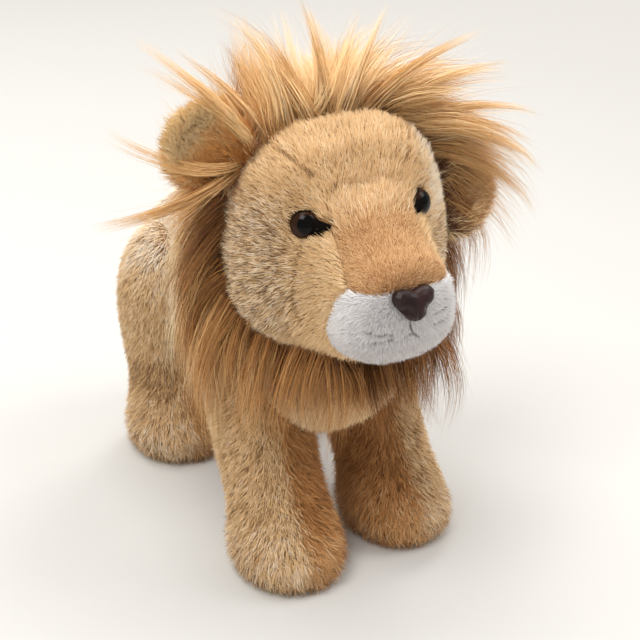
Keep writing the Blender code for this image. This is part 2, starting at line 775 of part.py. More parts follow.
def bar(name, radius, start, end):
    """A round bar between two points, for a shank or a groove."""
    run = end - start
    bm = bmesh.new()
    bmesh.ops.create_cone(
        bm, cap_ends=True, segments=12, radius1=radius, radius2=radius, depth=run.length
    )
    placing = Matrix.Translation((start + end) / 2) @ run.to_track_quat("Z", "Y").to_matrix().to_4x4()
    bmesh.ops.transform(bm, matrix=placing, verts=bm.verts)
    return mesh_from(bm, name)


def groove(name, radius, points):
    """A bent round groove, as one mesh tube."""
    data = bpy.data.curves.new(name, "CURVE")
    data.dimensions = "3D"
    data.bevel_depth = radius
    data.bevel_resolution = 2
    data.use_fill_caps = True
    spline = data.splines.new("POLY")
    spline.points.add(len(points) - 1)
    for item, place in zip(spline.points, points):
        item.co = (*place, 1)
    holder = bpy.data.objects.new(name, data)
    bpy.context.scene.collection.objects.link(holder)
    bpy.context.view_layer.update()
    seen = holder.evaluated_get(bpy.context.evaluated_depsgraph_get())
    mesh = bpy.data.meshes.new_from_object(seen)
    mesh.name = name
    bpy.data.objects.remove(holder)
    bm = bmesh.new()
    bm.from_mesh(mesh)
    bmesh.ops.remove_doubles(bm, verts=bm.verts, dist=WELD)
    bmesh.ops.recalc_face_normals(bm, faces=bm.faces)
    bm.to_mesh(mesh)
    bm.free()
    return mesh


def build_nose(shop, head, panels, filling):
    """The moulded nose with curled nostrils and a philtrum, on a shank with a washer."""
    facing = Vector((0, -1, 0.34)).normalized()
    seat_place = nose_seat(head, HEAD_MIDDLE - NOSE_DROP)
    place = aimed(seat_place + facing * NOSE_THICKNESS * 0.25, facing)
    mesh, shank, reach = nose_body("nose")
    nose = shop.add("nose", mesh, shop.moulded)
    shank_mesh = bar("nose_shank", shank, Vector((0, 0, 0)), Vector((0, 0, -reach)))
    shank_piece = shop.add("add_nose_shank", shank_mesh)
    room_mesh, room_shank, room_reach = nose_body("cut_nose", SEAM_GAP)
    room = shop.add("cut_nose", room_mesh)
    shank_room = shop.add(
        "cut_nose_shank", bar("cut_nose_shank", room_shank, Vector((0, 0, 0)), Vector((0, 0, -room_reach)))
    )
    washer = shop.add("nose_washer", turned("nose_washer", nose_washer_profile()), shop.washer)
    washer_room = shop.add("cut_nose_washer", nose_washer_block("cut_nose_washer"))
    grooves = []
    for side in (-1, 1):
        curl = [
            Vector((side * NOSE_WIDTH * x, NOSE_HEIGHT * y, NOSE_THICKNESS * z))
            for x, y, z in ((0.47, -0.02, 0.50), (0.36, -0.13, 0.80), (0.25, -0.10, 0.98), (0.21, 0.04, 1.04))
        ]
        grooves.append(shop.add(f"cut_nostril_{side + 1}", groove("nostril", NOSTRIL_WIDTH / 2, curl)))
    line = [
        Vector((0, NOSE_HEIGHT * y, NOSE_THICKNESS * z))
        for y, z in ((-0.56, 0.55), (-0.40, 0.86), (-0.15, 1.04), (0.10, 1.10))
    ]
    grooves.append(shop.add("cut_philtrum", groove("philtrum", PHILTRUM_WIDTH / 2, line)))
    for piece in (nose, shank_piece, room, shank_room, washer, washer_room, *grooves):
        piece.matrix_local = place
    spin(washer)
    cut(nose, shank_piece, "UNION")
    for piece in grooves:
        cut(nose, piece)
    cut(panels["bridge_panel"], room)
    cut(panels["muzzle_panel"], room)
    cut(panels["muzzle_panel"], shank_room)
    cut(filling, shank_room)
    cut(filling, washer_room)


def nose_washer_profile():
    """The nose's washer lies further down its shank, behind the panels."""
    inner = SHANK_DIAMETER / 2 + SEAM_GAP
    outer = WASHER_DIAMETER / 2
    top = -NOSE_THICKNESS * 0.35 - SKIN - 6 * SEAM_GAP
    return [(outer, top), (outer, top - WASHER_THICKNESS), (inner, top - WASHER_THICKNESS), (inner, top)]


def nose_washer_block(name):
    """The room that the nose's washer takes in the filling."""
    (outer, top), (_, low) = nose_washer_profile()[:2]
    start, end = Vector((0, 0, top + SEAM_GAP)), Vector((0, 0, low - SEAM_GAP))
    return bar(name, outer + SEAM_GAP, start, end)


def nose_seat(head, height):
    """Where the head's front meets the nose's height."""
    steps = 80
    places = [0.3 * (i / steps) ** 2 for i in range(steps)]
    tops = [head.point(place, math.pi / 2) for place in places]
    return min(tops, key=lambda point: abs(point.z - height))


def ear_mesh(name, base, layer_back, layer_front, cup):
    """One layer of an ear: a round pillow, cupped, between two offsets from its middle surface."""
    bm = bmesh.new()
    bmesh.ops.create_uvsphere(bm, u_segments=EAR_SIDES, v_segments=EAR_RINGS, radius=1)
    radius = EAR_DIAMETER / 2
    for vert in bm.verts:
        out = min(math.hypot(vert.co.x, vert.co.y), 1.0)
        swell = math.sqrt(max(1 - out**2, 0.0))
        lift = layer_front(swell) if vert.co.z > 0 else layer_back(swell)
        bend = cup * out**2
        vert.co = Vector((vert.co.x * radius, vert.co.y * radius, lift + bend))
    bmesh.ops.transform(bm, matrix=base, verts=bm.verts)
    return mesh_from(bm, name)


def build_ears(shop, head, head_cutter):
    """Each ear is two cupped layers, the tan back and the brown lining, sewn to the head at its base."""
    edge = SEAM_GAP * 2

    def back_low(swell):
        return -edge - swell * EAR_BACK_THICKNESS

    def back_high(swell):
        return edge * 0.5

    def lining_low(swell):
        return edge * 0.5 + SEAM_GAP

    def lining_high(swell):
        return edge * 0.5 + SEAM_GAP + edge + swell * EAR_LINING_THICKNESS

    for side, word, turn, lift in EAR_POSES:
        around = math.pi / 2 - side * (math.pi / 2 - turn)
        root = head.point(EAR_ALONG_SHARE, around)
        out = Vector((side * math.cos(lift), 0.18 * math.sin(lift) - 0.05, math.sin(lift))).normalized()
        facing = (Vector((side * 0.30, -1, 0.12)) - out * 0.20).normalized()
        base = aimed(root + out * EAR_DIAMETER * EAR_STANDOFF_SHARE, facing, out)
        for layer, low, high, finish in (
            ("back", back_low, back_high, shop.tan),
            ("lining", lining_low, lining_high, shop.brown),
        ):
            name = f"ear_{layer}_{word}"
            piece = shop.add(name, ear_mesh(name, base, low, high, EAR_CUP), finish)
            cut(piece, head_cutter)


def loft(name, sections):
    """A closed solid through closed sections of as many points each."""
    bm = bmesh.new()
    loops = [[bm.verts.new(point) for point in section] for section in sections]
    count = len(loops[0])
    for first, second in zip(loops, loops[1:]):
        for i in range(count):
            j = (i + 1) % count
            bm.faces.new((first[i], first[j], second[j], second[i]))
    bm.faces.new(loops[0][::-1])
    bm.faces.new(loops[-1])
    return mesh_from(bm, name, wound=True)


def mane_reach(around, leaning):
    """From a lock's root to its tip. Leaning is 0 in the mane's front row and 1 in its last."""
    turn = (math.degrees(around) + 90) % 360 - 90
    front = Vector(share_at(FRONT_REACH_SHARES, turn, column) for column in (1, 2, 3))
    out, back, up, down = BACK_REACH_SHARES
    last = Vector((out * math.cos(around), back, up * math.sin(around) + down))
    return front.lerp(last, leaning) * MANE_LENGTH


def side_reach(around, leaning):
    """The same for the panels down the two sides, which mirror each other."""
    low = -math.sin(around)
    side = math.copysign(1, math.cos(around))
    out, back, up, more_out, more_up = (
        share_at(SIDE_WAY_SHARES, leaning, column) for column in range(1, 6)
    )
    return Vector((side * (out + more_out * low), back, up + more_up * low)).normalized() * MANE_SIDE_LENGTH


def fan(name, head, hung_over, place, turns, locks, reach_at):
    """A mane panel: locks that taper to a point, side by side on a strip that goes round the head."""
    steps = len(locks) * LOCK_SECTIONS
    spread = turns[1] - turns[0]
    band = MANE_BAND / 2 / head.length

    def clear(point, gap):
        for form in hung_over * SETTLE_ROUNDS:
            point = form.outside(point, gap)
        return point

    def along_seam(around):
        return (head.point(place, around + 0.05) - head.point(place, around - 0.05)).normalized()

    def tip_of(around, length_share, sway):
        reach = reach_at(around)
        direction = (reach.normalized() + along_seam(around) * sway).normalized()
        return head.point(place, around) + direction * reach.length * length_share

    sections = []
    for i in range(steps + 1):
        around = turns[0] + spread * i / steps
        index = min(i // LOCK_SECTIONS, len(locks) - 1)
        rise = math.sin(math.pi * (i % LOCK_SECTIONS) / LOCK_SECTIONS)
        length_share, sway = locks[index]
        heart = turns[0] + spread * (index + 0.5) / len(locks)
        plain = tip_of(around, length_share * (VALLEY_SHARE + (1 - VALLEY_SHARE) * rise), sway * rise)
        tip = plain.lerp(tip_of(heart, length_share, sway), PINCH_SHARE * rise)
        strip = (head.point(place + shift, around, BAND_GAP) for shift in (-band, 0, band))
        front, root, back = (clear(point, BAND_GAP) for point in strip)
        run = tip - root
        through = run.cross(along_seam(around)).normalized()
        if through.dot(front - back) < 0:
            through.negate()
        half = MANE_THICKNESS / 2 * (0.45 + 0.55 * rise)
        bow = Z_AXIS * run.length * MANE_BOW_SHARE
        near, far = [front], [back, root]
        for t, width_share in LOCK_WIDTH_SHARES:
            width = half * width_share
            middle = clear(root + run * t + bow * 4 * t * (1 - t), width + LOCK_CLEARANCE)
            near.append(clear(middle + through * width, LOCK_CLEARANCE))
            far.insert(0, clear(middle - through * width, LOCK_CLEARANCE))
        sections.append(near + far)
    return loft(name, sections)


def build_mane(shop, head, hung_over, throat_cutters):
    """The mane's panels, which hang clear of the body but for the bib, cut to fit under the throat."""
    for name, place, turns, count, leaning in MANE_PANELS:
        bounds = [math.radians(turn) for turn in turns]
        hand = -1 if name.endswith("right") else 1
        locks = [(length_share, sway * hand) for length_share, sway in LOCK_SHARES[:count]]
        cutters = throat_cutters if name == "mane_bib" else []
        clear_of = [] if cutters else hung_over
        way = side_reach if name.startswith(("mane_side", "mane_shoulder")) else mane_reach
        mesh = fan(name, head, clear_of, place, bounds, locks, lambda around: way(around, leaning))
        piece = shop.add(name, mesh, shop.mane)
        for cutter in cutters:
            cut(piece, cutter)


def link_mesh(name, top, bottom, radius):
    """A stuffed tube with round ends, from one end's centre to the other's."""
    bm = bmesh.new()
    bmesh.ops.create_uvsphere(bm, u_segments=TAIL_SIDES, v_segments=TAIL_RINGS, radius=1)
    for vert in bm.verts:
        vert.co = vert.co * radius + (top if vert.co.z >= 0 else bottom)
    return mesh_from(bm, name)


def build_tail(shop, torso):
    """A limp tail that hangs from the rump: two links that pivot on their round ends, and the tuft."""
    radius = TAIL_DIAMETER / 2
    pivot = torso.point(1.0, math.pi / 2) + Y_AXIS * (radius + SEAM_GAP)
    swing = pivot - Z_AXIS * TAIL_UPPER_LENGTH
    upper_end = swing + Z_AXIS * (TAIL_DIAMETER + SEAM_GAP)
    low_end = swing - Z_AXIS * TAIL_LOWER_LENGTH
    for name, top, bottom in (("tail_upper", pivot, upper_end), ("tail_lower", swing, low_end)):
        link = shop.add(name, link_mesh(name, Vector(), bottom - top, radius), shop.tan)
        link.location = top
    tuft = Form(
        low_end - Z_AXIS * (radius + SEAM_GAP),
        (-Z_AXIS, X_AXIS, Y_AXIS),
        (TUFT_LENGTH, TUFT_DIAMETER, TUFT_DIAMETER),
        TUFT_SHARES,
    )
    shop.add("tail_tuft", stuffed("tail_tuft", tuft, 0.0, TUFT_SIDES, TUFT_RINGS), shop.mane)


def build_legs(shop, torso_cutter):
    """Four leg skins, open at the top where they are sewn to the body, each with its filling."""
    for front, pair in ((True, "front"), (False, "hind")):
        for side, word in ((-1, "right"), (1, "left")):
            form = leg_form(side, front)
            name = f"leg_{pair}_{word}"
            leg = shop.add(f"{name}_skin", skin(f"{name}_skin", form, LEG_SIDES, LEG_RINGS), shop.tan)
            fill = shop.add(
                f"{name}_filling",
                stuffed(f"{name}_filling", form, -SKIN - FILL_GAP, LEG_SIDES, LEG_RINGS),
                shop.fibre,
            )
            cut(leg, torso_cutter)
            cut(fill, torso_cutter)


def stand_at_origin(shop):
    """Moves the whole lion so that the middle of its box stands over the origin."""
    bpy.context.view_layer.update()
    graph = bpy.context.evaluated_depsgraph_get()
    low, high = [math.inf] * 3, [-math.inf] * 3
    for part in shop.parts.objects:
        if part.type != "MESH":
            continue
        seen = part.evaluated_get(graph)
        for corner in seen.bound_box:
            world = seen.matrix_world @ Vector(corner)
            low = [min(a, b) for a, b in zip(low, world)]
            high = [max(a, b) for a, b in zip(high, world)]
    shop.root.location = (-(low[0] + high[0]) / 2, -(low[1] + high[1]) / 2, -low[2])
    bpy.context.view_layer.update()


def main():
    shop = Workshop()
    torso, head = torso_form(), head_form()
    torso_cutter = shop.add(
        "cut_torso", stuffed("cut_torso", torso, SEAM_GAP, BODY_SIDES, BODY_RINGS)
    )
    head_cutter = shop.add("cut_head", stuffed("cut_head", head, SEAM_GAP, HEAD_SIDES, HEAD_RINGS))
    build_torso(shop, torso, head)
    panels, filling = build_head(shop, head, torso, torso_cutter)
    build_eyes(shop, head, panels["head_skin"], filling)
    build_nose(shop, head, panels, filling)
    build_ears(shop, head, head_cutter)
    build_legs(shop, torso_cutter)
    hung_over = [head, torso, leg_form(-1, True), leg_form(1, True)]
    build_mane(shop, head, hung_over, [torso_cutter, head_cutter])
    build_tail(shop, torso)
    stand_at_origin(shop)


main()
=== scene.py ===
"""A plush lion. Its pile and its mane are single strands that grow from stuffed forms.

The lion faces -Y and its left side is +X. Tables and lengths marked MM are in millimetres.
"""

import math

import bmesh
import bpy
import numpy as np
from mathutils import Matrix, Vector
from mathutils.bvhtree import BVHTree


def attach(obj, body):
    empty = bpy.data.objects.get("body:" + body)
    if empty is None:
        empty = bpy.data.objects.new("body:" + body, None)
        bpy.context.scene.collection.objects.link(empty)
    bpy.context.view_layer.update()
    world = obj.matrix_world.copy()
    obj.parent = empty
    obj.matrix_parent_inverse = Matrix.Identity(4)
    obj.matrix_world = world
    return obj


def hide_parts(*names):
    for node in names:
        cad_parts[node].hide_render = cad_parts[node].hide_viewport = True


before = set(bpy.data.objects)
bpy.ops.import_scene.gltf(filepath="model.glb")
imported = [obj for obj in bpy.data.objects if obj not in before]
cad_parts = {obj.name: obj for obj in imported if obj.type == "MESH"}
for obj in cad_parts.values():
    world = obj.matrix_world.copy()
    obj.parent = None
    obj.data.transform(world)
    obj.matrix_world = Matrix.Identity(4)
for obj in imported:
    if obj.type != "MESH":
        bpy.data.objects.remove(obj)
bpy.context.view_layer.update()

MM = 0.001
UP = np.array((0.0, 0.0, 1.0))

# Camera
CAMERA_AZIMUTH, CAMERA_ELEVATION = math.radians(-27.7), math.radians(25.5)
CAMERA_DISTANCE = 0.736
CAMERA_AIM = Vector((0.0045, -0.02564, 0.1057))
CAMERA_LENS, CAMERA_SENSOR = 87.02, 36.0

# Head, along its axis from the muzzle to the neck
HEAD_FRONT_Y, HEAD_LENGTH = -0.1166, 0.124
HEAD_MIDDLE = np.array((0.0, -0.054, 0.162))
NOSE_TIP = np.array((0.0, -0.120, 0.152))

# Forms under the pile
BODY_VOXEL, FINE_VOXEL = 0.0022, 0.0009
SINK = 0.4 * MM  # how deep a strand's root sits in its backing
FLOOR_CLEARANCE = 0.35 * MM
WIDE_KNEE, WIDE_ROOM = 92 * MM, 14 * MM  # strands past the knee crowd into the room beside it

# Single strands
PILE_SEGMENTS, MANE_SEGMENTS = 2, 5
PILE_WIDTH = 0.42 * MM
MANE_WIDTH = 0.31 * MM
ODD_SHARE = 0.004  # share of strands dyed any tone of their cloth


def linear(red, green, blue):
    """A colour written as on a screen, 0 to 255, in the linear values of a shader."""
    shares = (red / 255, green / 255, blue / 255)
    return tuple(s / 12.92 if s <= 0.04045 else ((s + 0.055) / 1.055) ** 2.4 for s in shares) + (1.0,)


def unit(vectors):
    """Vectors of length one."""
    return vectors / np.maximum(np.linalg.norm(vectors, axis=-1, keepdims=True), 1e-12)


def dot(a, b):
    return np.sum(a * b, axis=-1, keepdims=True)


def ease(value, low, high):
    """0 below low, 1 above high, and a smooth rise between."""
    share = np.clip((value - low) / (high - low), 0, 1)
    return share * share * (3 - 2 * share)


class Socket:
    """An output of a finish's nodes. Sums and products of sockets add their Math nodes."""

    def __init__(self, finish, link):
        self.finish = finish
        self.link = link

    def math(self, operation, first, second):
        return self.finish.node("ShaderNodeMath", {"operation": operation}, {0: first, 1: second})

    def __add__(self, other):
        return self.math("ADD", self, other)

    def __sub__(self, other):
        return self.math("SUBTRACT", self, other)

    def __rsub__(self, other):
        return self.math("SUBTRACT", other, self)

    def __mul__(self, other):
        return self.math("MULTIPLY", self, other)

    def __pow__(self, other):
        return self.math("POWER", self, other)

    __radd__ = __add__
    __rmul__ = __mul__


class Finish:
    """A material, built node by node."""

    def __init__(self, name):
        self.material = bpy.data.materials.new(name)
        self.material.use_nodes = True
        self.tree = self.material.node_tree
        self.tree.nodes.clear()

    def node(self, kind, settings=None, sockets=None, output=0):
        """Adds a node: its settings first, then the values or links of its sockets."""
        made = self.tree.nodes.new(kind)
        for key, value in (settings or {}).items():
            if key == "stops":
                while len(made.color_ramp.elements) < len(value):
                    made.color_ramp.elements.new(1.0)
                for element, (place, colour) in zip(made.color_ramp.elements, value):
                    element.position = place
                    element.color = colour
            else:
                setattr(made, key, value)
        for key, value in (sockets or {}).items():
            if isinstance(value, Socket):
                self.tree.links.new(value.link, made.inputs[key])
            else:
                made.inputs[key].default_value = value
        return Socket(self, made.outputs[output]) if made.outputs else made

    def ramp(self, factor, stops):
        return self.node("ShaderNodeValToRGB", {"stops": stops}, {0: factor})

    def mix(self, factor, first, second):
        return self.node("ShaderNodeMix", {"data_type": "RGBA"}, {0: factor, 6: first, 7: second}, 2)

    def rise(self, value, low, high):
        """0 below low, 1 above high."""
        return self.node(
            "ShaderNodeMapRange", {"interpolation_type": "SMOOTHSTEP"}, {0: value, 1: low, 2: high}
        )

    def noise(self, vector, scale, detail=3.0, roughness=0.55):
        sockets = {"Vector": vector, "Scale": scale, "Detail": detail, "Roughness": roughness}
        return self.node("ShaderNodeTexNoise", {}, sockets)

    def object_place(self):
        return self.node("ShaderNodeTexCoord", {}, {}, 3)

    def bump(self, height, strength, distance):
        return self.node(
            "ShaderNodeBump", {}, {"Height": height, "Strength": strength, "Distance": distance}
        )

    def surface(self, **sockets):
        """Ends the finish with a Principled shader. Underscores in names stand for spaces."""
        values = {key.replace("_", " "): value for key, value in sockets.items()}
        shader = self.node("ShaderNodeBsdfPrincipled", {}, values)
        self.node("ShaderNodeOutputMaterial", {}, {"Surface": shader})
        return self.material


def pile_finish(name, palette, root_shade, root_reach, roughness, sheen, sheen_tint):
    """Strands whose map gives the tone across and the way from root to tip up."""
    finish = Finish(name)
    place = finish.node("ShaderNodeUVMap", {"uv_map": "OFBake"})
    tone = finish.node("ShaderNodeSeparateXYZ", {}, {0: place}, 0)
    along = finish.node("ShaderNodeSeparateXYZ", {}, {0: place}, 1)
    tips = [(at, linear(*colour)) for at, colour in palette]
    # Roots darker than tips by root_shade: partly the fibres' own darker roots, partly painted shade down among the
    # strands.
    roots = [(at, tuple(c * s for c, s in zip(colour, root_shade)) + (1.0,)) for at, colour in tips]
    colour = finish.mix(
        finish.rise(along, 0.0, root_reach), finish.ramp(tone, roots), finish.ramp(tone, tips)
    )
    return finish.surface(
        Base_Color=colour,
        Roughness=roughness,
        Specular_IOR_Level=0.25,
        Sheen_Weight=sheen,
        Sheen_Roughness=0.4,
        Sheen_Tint=sheen_tint,
    )


def backing_finish(name, dark, light):
    """The woven backing between the strands, coloured darker as painted shade down among them."""
    finish = Finish(name)
    place = finish.object_place()
    patches = finish.noise(place, 160.0)
    grain = finish.noise(place, 1400.0, 2.0)
    colour = finish.mix(finish.rise(patches, 0.35, 0.65), linear(*dark), linear(*light))
    return finish.surface(
        Base_Color=colour,
        Roughness=0.95,
        Specular_IOR_Level=0.1,
        Normal=finish.bump(grain, 0.6, 0.0004),
    )


def felt_finish():
    finish = Finish("black felt")
    grain = finish.noise(finish.object_place(), 1800.0, 4.0)
    colour = finish.mix(grain, linear(4, 3, 3), linear(24, 19, 16))
    return finish.surface(
        Base_Color=colour, Roughness=0.95, Specular_IOR_Level=0.05, Normal=finish.bump(grain, 0.7, 0.0004)
    )


TAN_PALETTE = (
    (0.00, (70, 49, 36)),
    (0.15, (126, 97, 68)),
    (0.30, (172, 136, 98)),
    (0.42, (208, 167, 117)),
    (0.55, (238, 198, 144)),
    (0.68, (249, 218, 172)),
    (0.80, (252, 231, 203)),
    (0.90, (253, 241, 222)),
    (1.00, (255, 249, 238)),
)
# Darker, warmer tan for the legs' inward sides: painted shade.
WARM_PALETTE = (
    (0.00, (84, 48, 24)),
    (0.30, (164, 108, 58)),
    (0.55, (210, 150, 90)),
    (0.80, (238, 196, 142)),
    (1.00, (250, 230, 194)),
)
BRIDGE_PALETTE = (
    (0.00, (150, 98, 58)),
    (0.35, (208, 158, 106)),
    (0.65, (232, 188, 136)),
    (1.00, (251, 226, 192)),
)
WHITE_PALETTE = (
    (0.00, (88, 66, 52)),
    (0.14, (176, 162, 156)),
    (0.30, (221, 214, 213)),
    (0.60, (244, 240, 238)),
    (1.00, (254, 254, 254)),
)
MANE_PALETTE = (
    (0.00, (50, 26, 11)),
    (0.20, (116, 70, 31)),
    (0.40, (191, 132, 71)),
    (0.60, (233, 182, 117)),
    (0.80, (251, 216, 160)),
    (1.00, (254, 237, 202)),
)
EAR_PALETTE = (
    (0.00, (84, 44, 18)),
    (0.30, (186, 118, 56)),
    (0.60, (252, 188, 112)),
    (0.80, (255, 212, 146)),
    (1.00, (255, 232, 186)),
)
BROWN_PALETTE = (
    (0.00, (44, 24, 14)),
    (0.35, (118, 72, 42)),
    (0.65, (190, 136, 88)),
    (0.85, (240, 204, 158)),
    (1.00, (252, 236, 208)),
)

CREAM_SHEEN = (1.0, 0.93, 0.82, 1.0)
FINISHES = {
    "tan": pile_finish("tan pile", TAN_PALETTE, (0.76, 0.68, 0.58), 0.55, 0.72, 0.25, CREAM_SHEEN),
    "ear": pile_finish("ear pile", EAR_PALETTE, (0.96, 0.90, 0.82), 0.6, 0.75, 0.3, CREAM_SHEEN),
    "warm": pile_finish("warm tan pile", WARM_PALETTE, (0.50, 0.40, 0.30), 0.5, 0.72, 0.2, CREAM_SHEEN),
    "bridge": pile_finish(
        "short tan pile", BRIDGE_PALETTE, (0.62, 0.54, 0.46), 0.5, 0.8, 0.35, CREAM_SHEEN
    ),
    "white": pile_finish("white pile", WHITE_PALETTE, (0.80, 0.78, 0.80), 0.5, 0.8, 0.3, (1, 1, 1, 1)),
    "mane": pile_finish("mane pile", MANE_PALETTE, (0.68, 0.59, 0.49), 0.36, 0.48, 0.15, CREAM_SHEEN),
    "brown": pile_finish("brown pile", BROWN_PALETTE, (0.5, 0.42, 0.34), 0.5, 0.7, 0.2, CREAM_SHEEN),
    "felt": felt_finish(),
    "tan_backing": backing_finish("tan backing", (122, 88, 56), (158, 118, 78)),
    "bridge_backing": backing_finish("nose bridge backing", (150, 104, 68), (172, 122, 82)),
    "white_backing": backing_finish("white backing", (190, 186, 190), (214, 212, 214)),
    "ear_backing": backing_finish("ear backing", (186, 132, 78), (224, 172, 112)),
    "brown_backing": backing_finish("brown backing", (58, 34, 20), (88, 54, 32)),
}


def add_piece(name, mesh, finish, body):
    """Puts a finished mesh in the scene, riding on a body."""
    piece = bpy.data.objects.new(name, mesh)
    bpy.context.scene.collection.objects.link(piece)
    mesh.materials.clear()
    mesh.materials.append(FINISHES[finish])
    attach(piece, body)
    return piece


def node_bmesh(nodes):
    """The CAD nodes' meshes, with the loose triangles of each joined up."""
    bm = bmesh.new()
    for node in nodes:
        bm.from_mesh(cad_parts[node].data)
    bmesh.ops.remove_doubles(bm, verts=bm.verts, dist=1e-6)
    return bm


def keep_largest(bm):
    """Deletes every island of a mesh but the one with the most points."""
    unseen = set(bm.verts)
    islands = []
    while unseen:
        island = {unseen.pop()}
        edge_of = list(island)
        while edge_of:
            vert = edge_of.pop()
            for edge in vert.link_edges:
                other = edge.other_vert(vert)
                if other in unseen:
                    unseen.remove(other)
                    island.add(other)
                    edge_of.append(other)
        islands.append(island)
    largest = max(islands, key=len)
    spare = [vert for island in islands if island is not largest for vert in island]
    bmesh.ops.delete(bm, geom=spare, context="VERTS")


def stuffed_form(name, nodes, voxel, rounds, finish, body):
    """One soft closed form in the place of CAD nodes, with their corners eased."""
    mesh = bpy.data.meshes.new(name)
    bm = node_bmesh(nodes)
    bm.to_mesh(mesh)
    bm.free()
    piece = bpy.data.objects.new(name, mesh)
    bpy.context.scene.collection.objects.link(piece)
    modifier = piece.modifiers.new("close", "REMESH")
    modifier.mode = "VOXEL"
    modifier.voxel_size = voxel
    closed = bpy.data.meshes.new_from_object(
        piece.evaluated_get(bpy.context.evaluated_depsgraph_get())
    )
    piece.modifiers.clear()
    bm = bmesh.new()
    bm.from_mesh(closed)
    keep_largest(bm)
    for _ in range(rounds):
        bmesh.ops.smooth_vert(
            bm, verts=bm.verts, factor=0.5, use_axis_x=True, use_axis_y=True, use_axis_z=True
        )
    bm.to_mesh(closed)
    bm.free()
    closed.shade_smooth()
    bpy.data.objects.remove(piece)
    piece = add_piece(name, closed, finish, body)
    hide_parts(*nodes)
    return piece


class Ground:
    """A form that strands grow from."""

    def __init__(self, piece):
        mesh = piece.data
        mesh.calc_loop_triangles()
        self.points = np.empty((len(mesh.vertices), 3))
        mesh.vertices.foreach_get("co", self.points.ravel())
        self.normals = np.empty((len(mesh.vertices), 3))
        mesh.vertex_normals.foreach_get("vector", self.normals.ravel())
        self.triangles = np.empty((len(mesh.loop_triangles), 3), dtype=np.int32)
        mesh.loop_triangles.foreach_get("vertices", self.triangles.ravel())
        self.tree = BVHTree.FromPolygons(self.points.tolist(), self.triangles.tolist())

    def clearance(self, point):
        """How far a point lies outside the form, less than 0 inside it, and the way out."""
        near, normal, _, distance = self.tree.find_nearest(Vector(point))
        return (distance if (Vector(point) - near).dot(normal) >= 0 else -distance), near, normal

    def free_of(self, others, gap):
        """For each of the form's points, 1 where it lies clear of the other forms, and else 0."""
        share = np.ones(len(self.points))
        for other in others:
            low, high = other.points.min(0) - 0.004, other.points.max(0) + 0.004
            close = np.all((self.points > low) & (self.points < high), axis=1)
            for index in np.nonzero(close)[0]:
                if share[index] and other.clearance(self.points[index])[0] < gap:
                    share[index] = 0
        return share

    def sow(self, per_mm2, keep, rng):
        """Roots and normals spread evenly over the form, thinned by keep, a share at each point."""
        a, b, c = (self.points[self.triangles[:, i]] for i in range(3))
        weights = np.linalg.norm(np.cross(b - a, c - a), axis=1) / 2 * keep[self.triangles].mean(1)
        total = np.cumsum(weights)
        count = int(total[-1] / MM**2 * per_mm2)
        picks = np.searchsorted(total, (np.arange(count) + rng.random(count)) / count * total[-1])
        chosen = self.triangles[np.minimum(picks, len(total) - 1)]
        u, v = rng.random((2, count))
        over = u + v > 1
        u[over], v[over] = 1 - u[over], 1 - v[over]
        shares = np.stack((1 - u - v, u, v), axis=1)[:, :, None]
        return (self.points[chosen] * shares).sum(1), unit((self.normals[chosen] * shares).sum(1))


def strand_pattern(segments):
    """One flat strand that ends in a point: each corner's side and level, and the faces' corners."""
    bm = bmesh.new()
    bmesh.ops.create_grid(bm, x_segments=1, y_segments=segments, size=1)
    ends = [vert for vert in bm.verts if vert.co.y > 0.999]
    bmesh.ops.pointmerge(bm, verts=ends, merge_co=Vector((0, 1, 0)))
    bm.verts.index_update()
    sides = np.array([vert.co.x for vert in bm.verts])
    levels = np.array([round((vert.co.y + 1) / 2 * segments) for vert in bm.verts])
    faces = [[vert.index for vert in face.verts] for face in bm.faces]
    bm.free()
    return sides, levels, faces


def strand_mesh(name, paths, breadths, normals, half_widths, tones):
    """All strands of a piece as one mesh, with a map of tone across and root to tip up."""
    count, steps = paths.shape[:2]
    sides, levels, faces = strand_pattern(steps - 1)
    corners = len(sides)
    along = levels / (steps - 1)
    taper = (1 - along**1.6) * (1 - 0.25 * along)
    out = breadths[:, None, :] * (half_widths[:, None, None] * (sides * taper)[None, :, None])
    points = paths[:, levels] + out
    points[:, :, 2] = np.maximum(points[:, :, 2], FLOOR_CLEARANCE)
    over = np.maximum(np.abs(points[:, :, 0]) - WIDE_KNEE, 0)
    points[:, :, 0] -= np.sign(points[:, :, 0]) * (over - WIDE_ROOM * (1 - np.exp(-over / WIDE_ROOM)))
    loop_corners = np.concatenate([np.array(face) for face in faces])
    starts = np.cumsum([0] + [len(face) for face in faces[:-1]])
    loops = (np.arange(count)[:, None] * corners + loop_corners).ravel()
    loop_starts = (np.arange(count)[:, None] * len(loop_corners) + starts).ravel()
    mesh = bpy.data.meshes.new(name)
    mesh.vertices.add(count * corners)
    mesh.vertices.foreach_set("co", points.astype(np.float32).ravel())
    mesh.loops.add(len(loops))
    mesh.loops.foreach_set("vertex_index", loops.astype(np.int32))
    mesh.polygons.add(len(loop_starts))
    mesh.polygons.foreach_set("loop_start", loop_starts.astype(np.int32))
    layer = mesh.uv_layers.new(name="OFBake")
    across = np.clip(tones, 0.01, 0.99)[:, None] + sides[loop_corners][None, :] * 0.006
    up = np.broadcast_to(0.01 + 0.98 * along[loop_corners], across.shape)
    layer.data.foreach_set("uv", np.stack((across, up), axis=2).astype(np.float32).ravel())
    mesh.update(calc_edges=True)
    mesh.shade_smooth()
    mesh.normals_split_custom_set_from_vertices(np.repeat(normals, corners, axis=0))
    return mesh


def clumps_of(roots, size, rng):
    """Which clump each root belongs to, and how many clumps there are."""
    cells = np.floor(roots / size + rng.uniform(-0.35, 0.35, roots.shape)).astype(int)
    _, clump = np.unique(cells, axis=0, return_inverse=True)
    return clump.ravel(), clump.max() + 1


